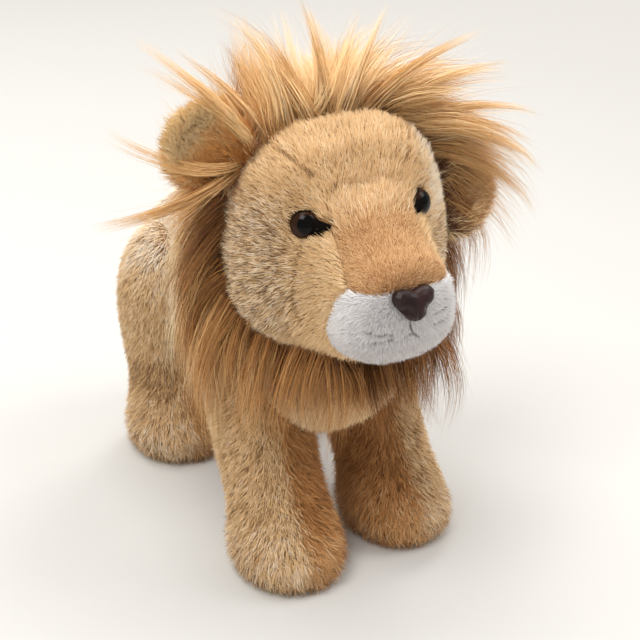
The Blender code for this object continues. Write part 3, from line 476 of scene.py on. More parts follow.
def pile(name, ground, look, seed, finish, body, density, keep, width=PILE_WIDTH, clump_size=1.6,
         gather=0.32):
    """Short pile over a form. look gives comb, length, leans, tone, grizzle and spread at the roots."""
    rng = np.random.default_rng(seed)
    roots, normals = ground.sow(density, keep, rng)
    lay = look(roots, normals)
    count = len(roots)
    clump, clumps = clumps_of(roots, clump_size * MM, rng)
    comb = lay["comb"] - normals * dot(lay["comb"], normals)
    comb = unit(comb + rng.normal(0, 0.02, comb.shape))
    comb = unit(comb - normals * dot(comb, normals))
    across = np.cross(normals, comb)
    turn = rng.normal(0, 0.20, clumps)[clump] + rng.normal(0, 0.16, count)
    comb = comb * np.cos(turn)[:, None] + across * np.sin(turn)[:, None]
    across = np.cross(normals, comb)
    lean = rng.normal(0, 0.10, clumps)[clump] + rng.normal(0, 0.08, count)
    first = np.clip(lay["lean"][0] + lean, 0.05, 1.50)[:, None]
    last = np.clip(lay["lean"][1] + lean, 0.10, 1.62)[:, None]
    start = normals * np.cos(first) + comb * np.sin(first)
    end = normals * np.cos(last) + comb * np.sin(last)
    length = lay["length"] * rng.uniform(0.84, 1.14, clumps)[clump] * rng.uniform(0.72, 1.12, count)
    length = length[:, None]
    heart = np.stack(
        [np.bincount(clump, roots[:, i], clumps) / np.bincount(clump, None, clumps) for i in range(3)],
        axis=1,
    )[clump]
    pull = heart - roots
    pull = pull - normals * dot(pull, normals)
    path = []
    for level in range(PILE_SEGMENTS + 1):
        t = level / PILE_SEGMENTS
        bow = start * (t - t * t / 2) + end * (t * t / 2)
        path.append(roots - normals * SINK + bow * length + pull * gather * t**1.4)
    twist = rng.uniform(-0.9, 0.9, count)[:, None]
    breadths = unit(np.cross(across, end) * np.sin(twist) - across * np.cos(twist))
    facing = unit(np.cross(breadths, start + end))
    shown = unit(normals * 0.62 + facing * 0.38)
    tuft, tufts = clumps_of(roots, 0.8 * MM, rng)
    tones = (
        lay["tone"]
        + lay["grizzle"] * np.sign(rng.normal(0.2, 1, tufts))[tuft] * rng.uniform(0.3, 1.0, count)
        + lay["spread"] * (0.7 * rng.normal(0, 1, clumps)[clump] + 0.8 * rng.normal(0, 1, count))
    )
    odd = rng.random(count) < ODD_SHARE
    tones = np.where(odd, rng.random(count), tones)
    half_widths = width / 2 * rng.uniform(0.75, 1.25, count)
    mesh = strand_mesh(name, np.stack(path, axis=1), breadths, shown, half_widths, tones)
    return add_piece(name, mesh, finish, body)


def lay(comb, length, lean, tone, grizzle, spread):
    """A pile's lie at each root, from numbers or arrays."""
    return {
        "comb": comb, "length": length, "lean": lean, "tone": tone, "grizzle": grizzle, "spread": spread
    }


def line_distance(points, line):
    """How far each point lies from a line through the points given, MM."""
    corners = np.array(line) * MM
    nearest = np.full(len(points), np.inf)
    for start, end in zip(corners, corners[1:]):
        way = end - start
        share = np.clip((points - start) @ way / (way @ way), 0, 1)[:, None]
        nearest = np.minimum(nearest, np.linalg.norm(points - start - way * share, axis=1))
    return nearest / MM


def by_turn(entries, turn):
    """The value of a table at a turn round the head."""
    turns = [entry[0] for entry in entries] + [entries[0][0] + 360]
    values = [np.atleast_1d(entry[1]) for entry in entries + entries[:1]]
    turn = (turn - turns[0]) % 360 + turns[0]
    return np.array([np.interp(turn, turns, [value[i] for value in values]) for i in range(len(values[0]))])


# Stuffed forms
torso = stuffed_form(
    "torso_form", ("torso_skin", "torso_filling"), BODY_VOXEL, 3, "tan_backing", "body"
)
head = stuffed_form(
    "head_form", ("head_skin", "head_filling"), BODY_VOXEL * 0.8, 3, "tan_backing", "body"
)
legs = {}
for leg in ("front_right", "front_left", "hind_right", "hind_left"):
    legs[leg] = stuffed_form(
        f"leg_{leg}_form",
        (f"leg_{leg}_skin", f"leg_{leg}_filling"),
        BODY_VOXEL,
        3,
        "tan_backing",
        "body",
    )
bridge = stuffed_form(
    "nose_bridge_form", ("bridge_panel",), FINE_VOXEL, 2, "bridge_backing", "body"
)
muzzle = stuffed_form(
    "muzzle_form", ("muzzle_panel",), FINE_VOXEL, 2, "white_backing", "body"
)

grounds = {"torso": Ground(torso), "head": Ground(head), "bridge": Ground(bridge), "muzzle": Ground(muzzle)}
for leg, form in legs.items():
    grounds[leg] = Ground(form)


def around_head(points):
    """Each point's angle round the head's axis, in degrees from its left side up."""
    return np.degrees(np.arctan2(points[:, 2] - HEAD_MIDDLE[2], points[:, 0])) % 360


HAIRLINE = (  # turn round the head and the y of the mane's front edge, MM
    (0, -41),
    (60, -45),
    (90, -47),
    (120, -45),
    (180, -41),
    (200, -46),
    (225, -60),
    (245, -76),
    (270, -82),
    (295, -76),
    (315, -60),
    (340, -46),
    (360, -41),
)


def behind_hairline(points):
    """How far back from the mane's front edge each point lies."""
    turns, places = zip(*HAIRLINE)
    return points[:, 1] - np.interp(around_head(points), turns, places) * MM


HEAD_SEAMS = (  # of the right side, MM. The left side mirrors them
    ((-33.5, -49.0, 206.5), (-32.5, -51.3, 206.1), (-28.1, -63.4, 202.5), (-21.7, -71.0, 195.8)),
    ((-30.0, -77.0, 168.7), (-32.4, -77.6, 159.3), (-33.9, -76.7, 147.6), (-31.0, -78.5, 137.0)),
)
EYE_CORNERS = ((-26.2, -77.4, 176.0), (-20.4, -82.0, 178.6))  # ends of the right eye's felt wedge, MM


def mottle(points, size):
    """Soft patches of about this size, from -1 to 1."""
    waves = ((1.0, 0.6, 0.3, 0.7), (-0.5, 0.9, 0.8, 2.1), (0.4, -0.8, 1.1, 4.0), (1.3, 0.5, -0.9, 5.2))
    return sum(np.sin(points @ np.array(way) * math.pi / size + start) for *way, start in waves) / 4


def mirrored(points):
    """The points, all on the lion's right side."""
    return points * np.where(points[:, :1] > 0, (-1, 1, 1), (1, 1, 1))


def torso_look(points, normals):
    comb = np.stack((points[:, 0] * 2, 0.10 + 0 * points[:, 1], -0.03 + 0 * points[:, 2]), axis=1)
    chest = ease(-points[:, 1], 0.045, 0.070)
    comb = comb * (1 - chest)[:, None] + np.array((0, 0.02, -0.10)) * chest[:, None]
    # Paler where the pile faces up: painted light from above.
    tone = 0.80 + 0.16 * normals[:, 2] - 0.11 * chest + 0.04 * mottle(points, 9 * MM)
    return lay(comb, 6.4 * MM, (0.75, 1.30), tone, 0.02, 0.05)


def leg_look(points, normals, middle, front, inner):
    low = ease(-points[:, 2], -0.040, -0.010)
    out = points - middle
    comb = np.stack((out[:, 0] * 2, out[:, 1] * 2 - 0.008 * front, -0.08 - 0 * out[:, 2]), axis=1)
    paw = np.stack((out[:, 0] * 2.5, out[:, 1] * 2.5 - 0.020, -0.030 + 0 * out[:, 2]), axis=1)
    comb = comb * (1 - low)[:, None] + paw * low[:, None]
    length = (5.4 + 2.6 * low) * MM
    lean = (0.72 - 0.12 * low, 1.22 - 0.15 * low)
    soft = 0.09 * mottle(points, 7 * MM)
    if inner:
        return lay(comb, length * 1.15, lean, 0.42 + 0.25 * low + soft, 0.06, 0.09)
    high = ease(points[:, 2], 0.086, 0.118) * (1 - front)
    # A darker band just above the paw: painted shade in the ankle's crease.
    ankle_crease_shade = ease(-np.abs(points[:, 2] - 0.044), -0.014, -0.004) * (1 - front)
    tone = 0.51 + 0.13 * low + 0.27 * high - 0.13 * ankle_crease_shade + soft
    return lay(comb, length, lean, tone, 0.15 - 0.11 * high, 0.07 - 0.02 * high)


def head_look(points, normals):
    """Golden over the brow, grizzled on the cheeks, and pale at the left temple as painted light."""
    away = points - NOSE_TIP
    cheek = ease(-(points[:, 2]), -0.170, -0.140)[:, None]
    comb = unit(away) + np.array((0, 0.1, -0.5)) * cheek
    side = ease(np.abs(points[:, 0]), 0.024, 0.042) * ease(-points[:, 2], -0.198, -0.178)
    temple = ease(points[:, 0], 0.026, 0.042) * ease(points[:, 2], 0.160, 0.175)
    fringe = ease(-behind_hairline(points), -0.016, -0.002)
    seam = np.minimum(*(line_distance(mirrored(points), line) for line in HEAD_SEAMS))
    seam = 1 - ease(seam, 0.4, 2.0)
    # temple lifts the tone as painted light where light catches the left temple.
    tone = 0.635 - 0.09 * side * (1 - temple) + 0.26 * temple - 0.05 * fringe - 0.26 * seam
    tone = tone + 0.05 * mottle(points, 6 * MM)
    grizzle = 0.05 + 0.29 * side * (1 - temple)
    return lay(comb, (5.4 - 0.6 * side - 2.2 * seam) * MM, (0.85, 1.32), tone, grizzle, 0.05)


def brow_look(points, normals):
    return lay(unit(points - NOSE_TIP), 5.4 * MM, (0.80, 1.30), 0.62, 0.05, 0.06)


STITCHES = (  # the threads of the muzzle and the line of its mouth, MM
    ((-20.4, -113.0, 143.1), (-15.0, -115.0, 141.0), (-9.0, -115.8, 140.3)),
    ((-18.2, -113.6, 137.8), (-13.0, -115.2, 137.4), (-8.8, -115.6, 138.3)),
    ((10.8, -115.7, 145.6), (16.5, -114.0, 146.2), (22.0, -111.1, 148.7)),
    ((10.5, -115.7, 140.8), (15.0, -114.4, 141.0), (20.0, -112.4, 142.6)),
    ((-0.9, -116.6, 146.5), (-0.7, -116.5, 142.8), (0.6, -116.2, 139.6)),
    ((-5.0, -116.2, 137.2), (0.6, -116.2, 139.6), (3.7, -115.9, 136.9)),
)


def bridge_look(points, normals):
    comb = np.stack((points[:, 0] * 1.2, 0.05 + 0 * points[:, 1], 0.01 + 0 * points[:, 2]), axis=1)
    rim = ease(-points[:, 1], 0.080, 0.090)
    tone = 0.51 + 0.06 * mottle(points, 6 * MM)
    return lay(comb, (4.4 - 1.8 * rim) * MM, (0.70, 1.20), tone, 0.05, 0.11)


def muzzle_look(points, normals):
    comb = unit(points - NOSE_TIP) + np.array((0, 0.3, -0.4))
    stitch = np.min([line_distance(points, line) for line in STITCHES], axis=0)
    stitch = 1 - ease(stitch, 0.25, 0.8)
    # Paler where the muzzle faces up and greyer below: painted light from above and painted shade underneath.
    tone = 0.60 + 0.38 * normals[:, 2] - 0.75 * stitch
    return lay(comb, (3.0 - 1.4 * stitch) * MM, (0.50, 1.05), tone, 0.04 * (1 - stitch), 0.08)


head_free = grounds["head"].free_of([grounds["torso"], grounds["bridge"], grounds["muzzle"]], 0.3 * MM)
face = head_free * ease(-behind_hairline(grounds["head"].points), -0.003, 0.000)
scalp = grounds["head"].free_of([grounds["torso"]], 0.5 * MM) * ease(
    behind_hairline(grounds["head"].points), -0.002, 0.001
)
EYES = {
    "right": (np.array((-27.75, -73.41, 177.75)) * MM, np.array((-0.438, -0.8739, 0.2109))),
    "left": (np.array((27.75, -73.41, 177.75)) * MM, np.array((0.438, -0.8739, 0.2109))),
}
for seat, _ in EYES.values():
    face = face * ease(np.linalg.norm(grounds["head"].points - seat, axis=1), 0.0056, 0.0068)
face = face * ease(line_distance(mirrored(grounds["head"].points), EYE_CORNERS), 3.4, 4.2)

pile("face_pile", grounds["head"], head_look, 11, "tan", "body", 3.95, face, clump_size=1.5)
bridge_free = grounds["bridge"].free_of([grounds["head"]], -0.2 * MM)
upper = ease(grounds["bridge"].points[:, 1], -0.0900, -0.0785)
pile("nose_bridge_pile", grounds["bridge"], bridge_look, 12, "bridge", "body", 6.0,
     bridge_free * (1 - 0.75 * upper), 0.30 * MM, 0.9)
pile("nose_bridge_upper_pile", grounds["bridge"], brow_look, 15, "tan", "body", 4.6,
     bridge_free * upper, 0.38 * MM, 1.2)
pile("muzzle_pile", grounds["muzzle"], muzzle_look, 13, "white", "body", 5.0,
     grounds["muzzle"].free_of([grounds["head"]], -0.2 * MM), 0.32 * MM, 1.1)

torso_free = grounds["torso"].free_of([grounds[leg] for leg in legs] + [grounds["head"]], 0.5 * MM)
for side, word in ((-1, "right"), (1, "left")):
    half = (grounds["torso"].points[:, 0] * side > 0).astype(float)
    pile(f"torso_pile_{word}", grounds["torso"], torso_look, 20 + side, "tan", "body", 2.5,
         torso_free * half)

LEG_MIDDLES = {
    "front_right": (-32.8, -61.6),
    "front_left": (32.8, -51.6),
    "hind_right": (-32.8, 71.4),
    "hind_left": (32.8, 71.4),
}
for number, (leg, (x, y)) in enumerate(LEG_MIDDLES.items()):
    ground = grounds[leg]
    points = ground.points
    side = math.copysign(1, x)
    free = ground.free_of([grounds["torso"]], 0.5 * MM) * (ground.normals[:, 2] > -0.985)
    inward = ease(-(points[:, 0] * side - abs(x) * MM), -0.003, 0.003)
    middle = np.array((x * MM, y * MM, 0.0))
    front = 1 if y < 0 else 0
    # The pile on each leg's inward side takes the darker warm finish as painted shade.
    for inner, word, share, finish in ((False, "outer", 1 - inward, "tan"), (True, "inner", inward, "warm")):
        pile(
            f"leg_{leg}_{word}_pile",
            ground,
            lambda p, n, middle=middle, front=front, inner=inner: leg_look(p, n, middle, front, inner),
            30 + number * 2 + inner,
            finish,
            "body",
            2.6,
            free * share,
        )


# Ears
EARS = {"right": ("ear", "ear_backing", 0.70, 0.48), "left": ("brown", "brown_backing", 0.50, 0.40)}
for number, (word, (lining_finish, backing, lining_tone, rise)) in enumerate(EARS.items()):
    back = stuffed_form(
        f"ear_back_form_{word}", (f"ear_back_{word}",), FINE_VOXEL, 2, "tan_backing", "body"
    )
    lining = stuffed_form(
        f"ear_lining_form_{word}", (f"ear_lining_{word}",), FINE_VOXEL, 2, backing, "body"
    )
    back_ground, lining_ground = Ground(back), Ground(lining)
    grounds[f"ear_{word}"] = back_ground
    centre = lining_ground.points.mean(0)

    def ear_look(points, normals, centre=centre):
        outward = unit(centre - HEAD_MIDDLE)
        return lay((points - centre) * 30 + outward, 9.0 * MM, (0.50, 1.15), 0.90, 0.04, 0.06)

    def lining_look(points, normals, centre=centre, tone=lining_tone, rise=rise):
        outward = unit(centre - HEAD_MIDDLE)
        reach = dot(points - centre, outward[None, :])[:, 0]
        comb = (points - centre) * 14 + outward + UP * 0.5
        # Darker toward the head and paler out to the rim: partly the lining's own colour, partly painted shade in
        # the ear's hollow.
        tone = tone + rise * np.clip(reach / 0.016, -1, 0.6)
        return lay(comb, 9.0 * MM, (0.85, 1.42), tone, 0.04, 0.07)

    free = back_ground.free_of([lining_ground, grounds["head"]], 0.2 * MM)
    pile(f"ear_back_pile_{word}", back_ground, ear_look, 60 + number, "ear", "body", 3.4, free)
    free = lining_ground.free_of([back_ground, grounds["head"]], 0.2 * MM)
    pile(f"ear_lining_pile_{word}", lining_ground, lining_look, 62 + number, lining_finish, "body",
         5.5, free)

# Mane
FRONT_REACHES = (  # turn round the head, and the reach of the front locks from root to tip, MM
    (-15, (10, 8, -66)),
    (0, (18, 6, -60)),
    (16, (36, -8, -44)),
    (38, (58, -24, -32)),
    (56, (64, -22, -4)),
    (72, (56, 0, 24)),
    (84, (34, 10, 38)),
    (95, (6, 16, 43)),
    (108, (-14, 14, 46)),
    (122, (-24, 14, 44)),
    (134, (-22, 16, 34)),
    (144, (-12, 26, 6)),
    (154, (-7, 24, -28)),
    (168, (-7, 18, -56)),
    (190, (-8, 12, -70)),
    (210, (-8, 2, -68)),
    (225, (-8, -6, -60)),
    (242, (-7, -12, -48)),
    (256, (-4, -15, -38)),
    (270, (0, -16, -34)),
    (284, (4, -15, -38)),
    (298, (7, -12, -48)),
    (315, (8, -6, -60)),
    (330, (8, 2, -68)),
    (345, (10, 8, -66)),
)
BACK_REACHES = (  # the same for the last row
    (-35, (8, 0, -60)),
    (0, (20, 14, -54)),
    (30, (34, 22, -36)),
    (60, (26, 36, -10)),
    (90, (0, 42, -2)),
    (120, (-20, 36, -10)),
    (150, (-18, 22, -38)),
    (180, (-12, 10, -58)),
    (215, (-8, 0, -60)),
    (325, (8, 0, -60)),
)
BACK_ROW = 47 * MM  # from the mane's front edge to its last row
ROWS = (  # distance behind the mane's front edge, MM, and locks all round
    (1, 62),
    (7, 60),
    (14, 56),
    (21, 54),
    (29, 50),
    (38, 46),
    (46, 40),
)
WISPS = (  # the longest single locks: turn, way they set out and reach, MM, strands and root width, MM
    (132, (-0.45, -0.50, 0.75), (-46, 15, 50), 190, 3.4),
    (132, (-0.50, -0.48, 0.70), (-45, 15, 41), 90, 2.8),
    (139, (-0.85, -0.50, -0.08), (-58, 19, 18), 130, 3.0),
    (139, (-0.85, -0.48, -0.10), (-57, 20, 14), 70, 2.6),
    (140, (-0.85, -0.52, -0.20), (-58, 39, -33), 190, 3.2),
    (140, (-0.85, -0.50, -0.22), (-55, 37, -34), 80, 2.8),
    (126, (-0.45, -0.20, 0.85), (-36, 6, 42), 110, 3.2),
    (112, (-0.25, -0.15, 0.95), (-20, 8, 48), 110, 3.2),
    (99, (0.10, -0.15, 1.00), (2, 10, 46), 100, 3.2),
    (92, (-0.20, -0.10, 1.00), (-12, 6, 52), 90, 2.6),
    (84, (0.30, -0.15, 0.95), (26, 8, 44), 110, 3.2),
    (72, (0.60, -0.20, 0.70), (52, -12, 32), 150, 3.6),
    (62, (0.75, -0.20, 0.60), (57, -14, 19), 150, 3.6),
    (48, (0.85, -0.25, 0.45), (66, -18, 1), 160, 3.6),
    (42, (0.90, -0.25, 0.35), (60, -17, -10), 130, 3.6),
    (36, (0.90, -0.25, 0.30), (61, -20, -17), 150, 3.6),
    (25, (0.95, -0.25, 0.15), (56, -20, -31), 140, 3.4),
)
# These tones are partly the mane's own and partly painted: painted light on top and further back down the sides,
# painted shade at the front edge beside the face and under the jaw.
MANE_TONES = (  # turn round the head, and the tone at the front edge and from 20 MM behind it
    (-15, (0.34, 0.46)),
    (16, (0.52, 0.66)),
    (38, (0.67, 0.73)),
    (62, (0.74, 0.76)),
    (86, (0.74, 0.72)),
    (112, (0.72, 0.72)),
    (132, (0.54, 0.66)),
    (148, (0.30, 0.60)),
    (165, (0.25, 0.90)),
    (190, (0.38, 0.97)),
    (225, (0.47, 0.82)),
    (256, (0.30, 0.40)),
    (284, (0.30, 0.40)),
    (315, (0.30, 0.44)),
)
LOCK_STRANDS = 96
FILLS = (  # turns, deepest root, MM, and length shares of more locks that thicken the mane, and their count
    (50, 140, 24, 0.45, 0.85, 70),
    (8, 72, 16, 0.70, 1.05, 40),
    (120, 146, 5, 0.40, 0.70, 24),
)
LOCK_ROOT, LOCK_TIP = 5.4 * MM, 2.3 * MM
hung_over = [(grounds[name], 1.0) for name in ("head", "torso", "front_right", "front_left")]
hung_over += [(grounds[name], 5 * MM) for name in ("ear_right", "ear_left")]  # thin: a point is never deep


def mane_reach(turn, behind):
    """A lock's reach from root to tip, from its turn round the head and its way behind the front edge."""
    share = min(max(behind / BACK_ROW, 0), 1)
    return (by_turn(FRONT_REACHES, turn) * (1 - share) + by_turn(BACK_REACHES, turn) * share) * MM


def mane_panel(behind, turn):
    """The CAD panel that a lock with this root belongs to."""
    turn = turn % 360
    if 232 < turn < 308:
        return "mane_bib"
    if turn <= 180 and behind > 33 * MM:
        return "mane_nape"
    if 35 < turn < 150:
        return "mane_crown" if behind < 13 * MM else "mane_top"
    side = "right" if 90 < turn < 270 else "left"
    return f"mane_side_{side}" if behind < 13 * MM else f"mane_shoulder_{side}"


def root_on_head(behind, turn):
    """The point of the head's skin at a turn round it, this far behind the mane's front edge."""
    turns, edge = zip(*HAIRLINE)
    angle = math.radians(turn)
    start = Vector((0, float(np.interp(turn % 360, turns, edge)) * MM + behind, HEAD_MIDDLE[2]))
    point, normal, _, _ = grounds["head"].tree.ray_cast(start, Vector((math.cos(angle), 0, math.sin(angle))))
    return np.array(point), np.array(normal)


def settled(point, gap):
    """The point, moved out of the forms that the mane hangs over."""
    for _ in range(3):
        for ground, deepest in hung_over:
            room, near, normal = ground.clearance(point)
            if -deepest < room < gap:
                point = np.array(near) + np.array(normal) * gap
    return point


class Locks:
    """The mane's locks, gathered by CAD panel."""

    def __init__(self, seed):
        self.rng = np.random.default_rng(seed)
        self.panels = {}

    def guide(self, seat, start, reach, bend):
        """The line down a lock's middle, clear of what it hangs over."""
        length = np.linalg.norm(reach)
        aside = unit(np.cross(reach, seat - HEAD_MIDDLE)) * self.rng.normal(0, bend) * length
        curl = unit(self.rng.normal(0, 1, 3)) * self.rng.normal(0, bend) * length
        line = []
        for t in np.linspace(0, 1, MANE_SEGMENTS + 1):
            point = seat + start * length * (t - t * t / 2) + (reach - start * length / 2) * t * t
            point = point + aside * math.sin(math.pi * t) + curl * t * t
            line.append(settled(point, (1.2 + 3.2 * t) * MM if t else -0.5 * MM))
        return np.array(line)

    def add(self, behind, turn, reach, strands=LOCK_STRANDS, root=LOCK_ROOT, tip=LOCK_TIP,
            tone=0.55, spread=0.08, wave=1.0, short=0.5, strays=0.16, way=None, bend=0.07):
        """A lock from the head's skin to root + reach."""
        rng = self.rng
        seat, normal = root_on_head(behind, turn)
        if grounds["torso"].clearance(seat)[0] < 0:
            return
        length = np.linalg.norm(reach)
        start = unit(normal * 0.75 + reach / length + UP * 0.10 if way is None else np.array(way))
        guide = self.guide(seat, start, reach, bend)
        axis = unit(guide[-1] - guide[0])
        first = unit(np.cross(axis, np.array((0.3, 0.2, 1.0))))
        second = np.cross(axis, first)
        angle = rng.uniform(0, 2 * math.pi, strands)
        radius = np.sqrt(rng.random(strands))
        stray = np.where(rng.random(strands) < strays, rng.uniform(0.06, 0.26, strands), 0.02) * length
        stray_turn = rng.uniform(0, 2 * math.pi, strands)
        share = rng.uniform(short, 1.06, strands)
        paths = np.empty((strands, MANE_SEGMENTS + 1, 3))
        wave_turn = rng.uniform(0, 2 * math.pi, strands)
        for level in range(MANE_SEGMENTS + 1):
            t = level / MANE_SEGMENTS
            at = np.clip(t * share, 0, 1) * MANE_SEGMENTS
            low = np.minimum(at.astype(int), MANE_SEGMENTS - 1)
            on_guide = guide[low] + (guide[low + 1] - guide[low]) * (at - low)[:, None]
            on_guide = on_guide + axis * (np.maximum(t * share - 1, 0) * length)[:, None]
            wide = (root * (1 - t) ** 0.8 + tip * t * (1 + 0.8 * t)) * radius
            swing = wave * MM * t * np.sin(wave_turn + t * 5.0)
            off = stray * t**1.6
            paths[:, level] = (
                on_guide
                + first * (np.cos(angle) * wide + swing + np.cos(stray_turn) * off)[:, None]
                + second * (np.sin(angle) * wide + np.sin(stray_turn) * off)[:, None]
            )
        breadth_turn = rng.uniform(0, math.pi, strands)[:, None]
        breadths = first * np.cos(breadth_turn) + second * np.sin(breadth_turn)
        outward = unit(paths[:, MANE_SEGMENTS // 2] - HEAD_MIDDLE)
        facing = unit(np.cross(breadths, axis))
        breadths = breadths * np.where(dot(facing, outward) < 0, -1, 1)
        normals = unit(unit(np.cross(breadths, axis)) * 0.6 + outward * 0.5 + UP * 0.25)
        widths = MANE_WIDTH / 2 * rng.uniform(0.7, 1.2, strands) * np.where(stray > 0.05 * length, 0.7, 1)
        tones = tone + rng.normal(0, spread, strands)
        tones = np.where(rng.random(strands) < ODD_SHARE, rng.random(strands), tones)
        parts = self.panels.setdefault(mane_panel(behind, turn), [])
        parts.append((paths, breadths, normals, widths, tones))

    def finish(self):
        """One piece for each panel."""
        for panel, parts in sorted(self.panels.items()):
            columns = (np.concatenate(column) for column in zip(*parts))
            mesh = strand_mesh(f"{panel}_locks", *columns)
            piece = add_piece(f"{panel}_locks", mesh, "mane", "body")
            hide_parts(panel)


def mane_tone(turn, behind):
    """Blond over the brow, browner down the sides and under the jaw, darkest beside the face: partly the mane's own
    tones, partly painted light on top and painted shade beside the face and under the jaw.
    """
    edge, rest = by_turn(MANE_TONES, turn)
    return edge + (rest - edge) * min(max(behind / (17 * MM), 0), 1)


locks = Locks(5)
for behind, count in ROWS:
    for i in range(count):
        turn = (i + locks.rng.uniform(-0.4, 0.4)) * 360 / count
        place = behind * MM + locks.rng.uniform(-2, 2) * MM
        reach = mane_reach(turn, place) * locks.rng.uniform(0.70, 1.16)
        high = 45 < turn < 135
        reach = reach + locks.rng.normal(0, 10.0 if high else 4.0, 3) * MM
        tone = mane_tone(turn, place) + locks.rng.normal(0, 0.05)
        locks.add(place, turn, reach, tone=tone, tip=LOCK_TIP * (1.0 if high else 1.4), bend=0.15 if high else 0.10)
for low_turn, high_turn, deepest, shortest, longest, count in FILLS:
    for _ in range(count):
        turn, place = locks.rng.uniform(low_turn, high_turn), locks.rng.uniform(0, deepest) * MM
        reach = mane_reach(turn, place) * locks.rng.uniform(shortest, longest)
        reach = reach + locks.rng.normal(0, 6.0, 3) * MM
        locks.add(place, turn, reach, strands=76, tone=mane_tone(turn, place) + 0.03, strays=0.3, bend=0.12)
for turn, way, reach, strands, root in WISPS:
    locks.add(0.5 * MM, turn, np.array(reach) * MM, strands, root * MM, 0.5 * MM, mane_tone(turn, 15 * MM) + 0.04,
              way=way, short=0.62, strays=0.08, bend=0.02)
locks.finish()


def scalp_look(points, normals):
    behind = behind_hairline(points)
    comb = np.array([mane_reach(turn, b) for turn, b in zip(around_head(points), behind)])
    # Paler where the undercoat faces up: painted light from above.
    tone = 0.36 + 0.20 * normals[:, 2]
    return lay(comb * 10, 15 * MM, (0.55, 1.25), tone, 0.05, 0.07)


pile("mane_undercoat", grounds["head"], scalp_look, 51, "mane", "body", 1.6, scalp, 0.42 * MM, 2.4)

# Tail
TAIL = (
    ("tail_upper", "tail_upper", "tan", "tan_pile", 0.52),
    ("tail_lower", "tail_lower", "tan", "tan_pile", 0.50),
    ("tail_tuft", "tail_lower", "brown", "brown_pile", 0.40),
)
for number, (node, body, finish, slot, tone) in enumerate(TAIL):
    form = stuffed_form(f"{node}_form", (node,), FINE_VOXEL, 2, "tan_backing", body)

    def tail_look(points, normals, tone=tone, tuft=node == "tail_tuft"):
        comb = np.broadcast_to(np.array((0.0, 0.0, -1.0)), points.shape)
        return lay(comb, (16 if tuft else 7) * MM, (0.6, 1.25), tone, 0.04, 0.06)

    ground = Ground(form)
    pile(f"{node}_pile", ground, tail_look, 70 + number, finish, body, 4.0, np.ones(len(ground.points)))


# Eyes
def gloss_finish():
    """A black bead with a dark brown iris under its gloss."""
    finish = Finish("eye gloss")
    dome = finish.node("ShaderNodeUVMap", {"uv_map": "dome"})
    rim, pupil = (
        finish.node("ShaderNodeVectorMath", {"operation": "DISTANCE"}, {0: dome, 1: middle}, 1)
        for middle in ((0.5, 0.5, 0), (0.55, 0.53, 0))
    )
    iris = finish.rise(pupil, 0.27, 0.30) * (1 - finish.rise(rim, 0.38, 0.42))
    colour = finish.mix(iris, linear(4, 3, 3), linear(48, 27, 14))
    return finish.surface(Base_Color=colour, Roughness=0.10, Specular_IOR_Level=0.15)


def moulding_finish():
    finish = Finish("nose moulding")
    place = finish.object_place()
    grain = finish.noise(place, 1100.0, 3.0)
    patches = finish.noise(place, 140.0)
    colour = finish.mix(finish.rise(patches, 0.3, 0.7), linear(34, 20, 19), linear(52, 30, 28))
    return finish.surface(
        Base_Color=colour,
        Roughness=0.34 + 0.12 * patches,
        Specular_IOR_Level=0.25,
        Normal=finish.bump(grain, 0.25, 0.0003),
    )


def washer_finish():
    finish = Finish("washer plastic")
    grain = finish.noise(finish.object_place(), 900.0)
    colour = finish.mix(grain, linear(214, 212, 205), linear(232, 230, 224))
    return finish.surface(Base_Color=colour, Roughness=0.5, Normal=finish.bump(grain, 0.15, 0.0002))


FINISHES["gloss"] = gloss_finish()
FINISHES["moulding"] = moulding_finish()
FINISHES["washer"] = washer_finish()
EYE_RADIUS, EYE_HEIGHT = 6.5 * MM, 5.2 * MM
WEDGE_HALF = (5.0 * MM, 7.2 * MM, 2.7 * MM)

for word, (seat, facing) in EYES.items():
    bm = bmesh.new()
    bmesh.ops.create_uvsphere(bm, u_segments=40, v_segments=30, radius=1)
    bmesh.ops.bisect_plane(
        bm,
        geom=bm.verts[:] + bm.edges[:] + bm.faces[:],
        plane_co=(0, 0, -0.3),
        plane_no=(0, 0, -1),
        clear_outer=True,
    )
    rim = [edge for edge in bm.edges if edge.is_boundary]
    bmesh.ops.contextual_create(bm, geom=rim)
    layer = bm.loops.layers.uv.new("dome")
    for bead_face in bm.faces:
        for loop in bead_face.loops:
            x, y, _ = loop.vert.co
            loop[layer].uv = (0.5 + x * 0.45, 0.5 + y * 0.45)
    bmesh.ops.scale(bm, verts=bm.verts, vec=(EYE_RADIUS, EYE_RADIUS, EYE_HEIGHT))
    turn = Vector(facing).to_track_quat("Z", "Y").to_matrix().to_4x4()
    bmesh.ops.transform(bm, matrix=Matrix.Translation(Vector(seat)) @ turn, verts=bm.verts)
    mesh = bpy.data.meshes.new(f"eye_bead_{word}")
    bm.to_mesh(mesh)
    bm.free()
    mesh.shade_smooth()
    bead = add_piece(f"eye_bead_{word}", mesh, "gloss", "body")
    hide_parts(f"eye_{word}")

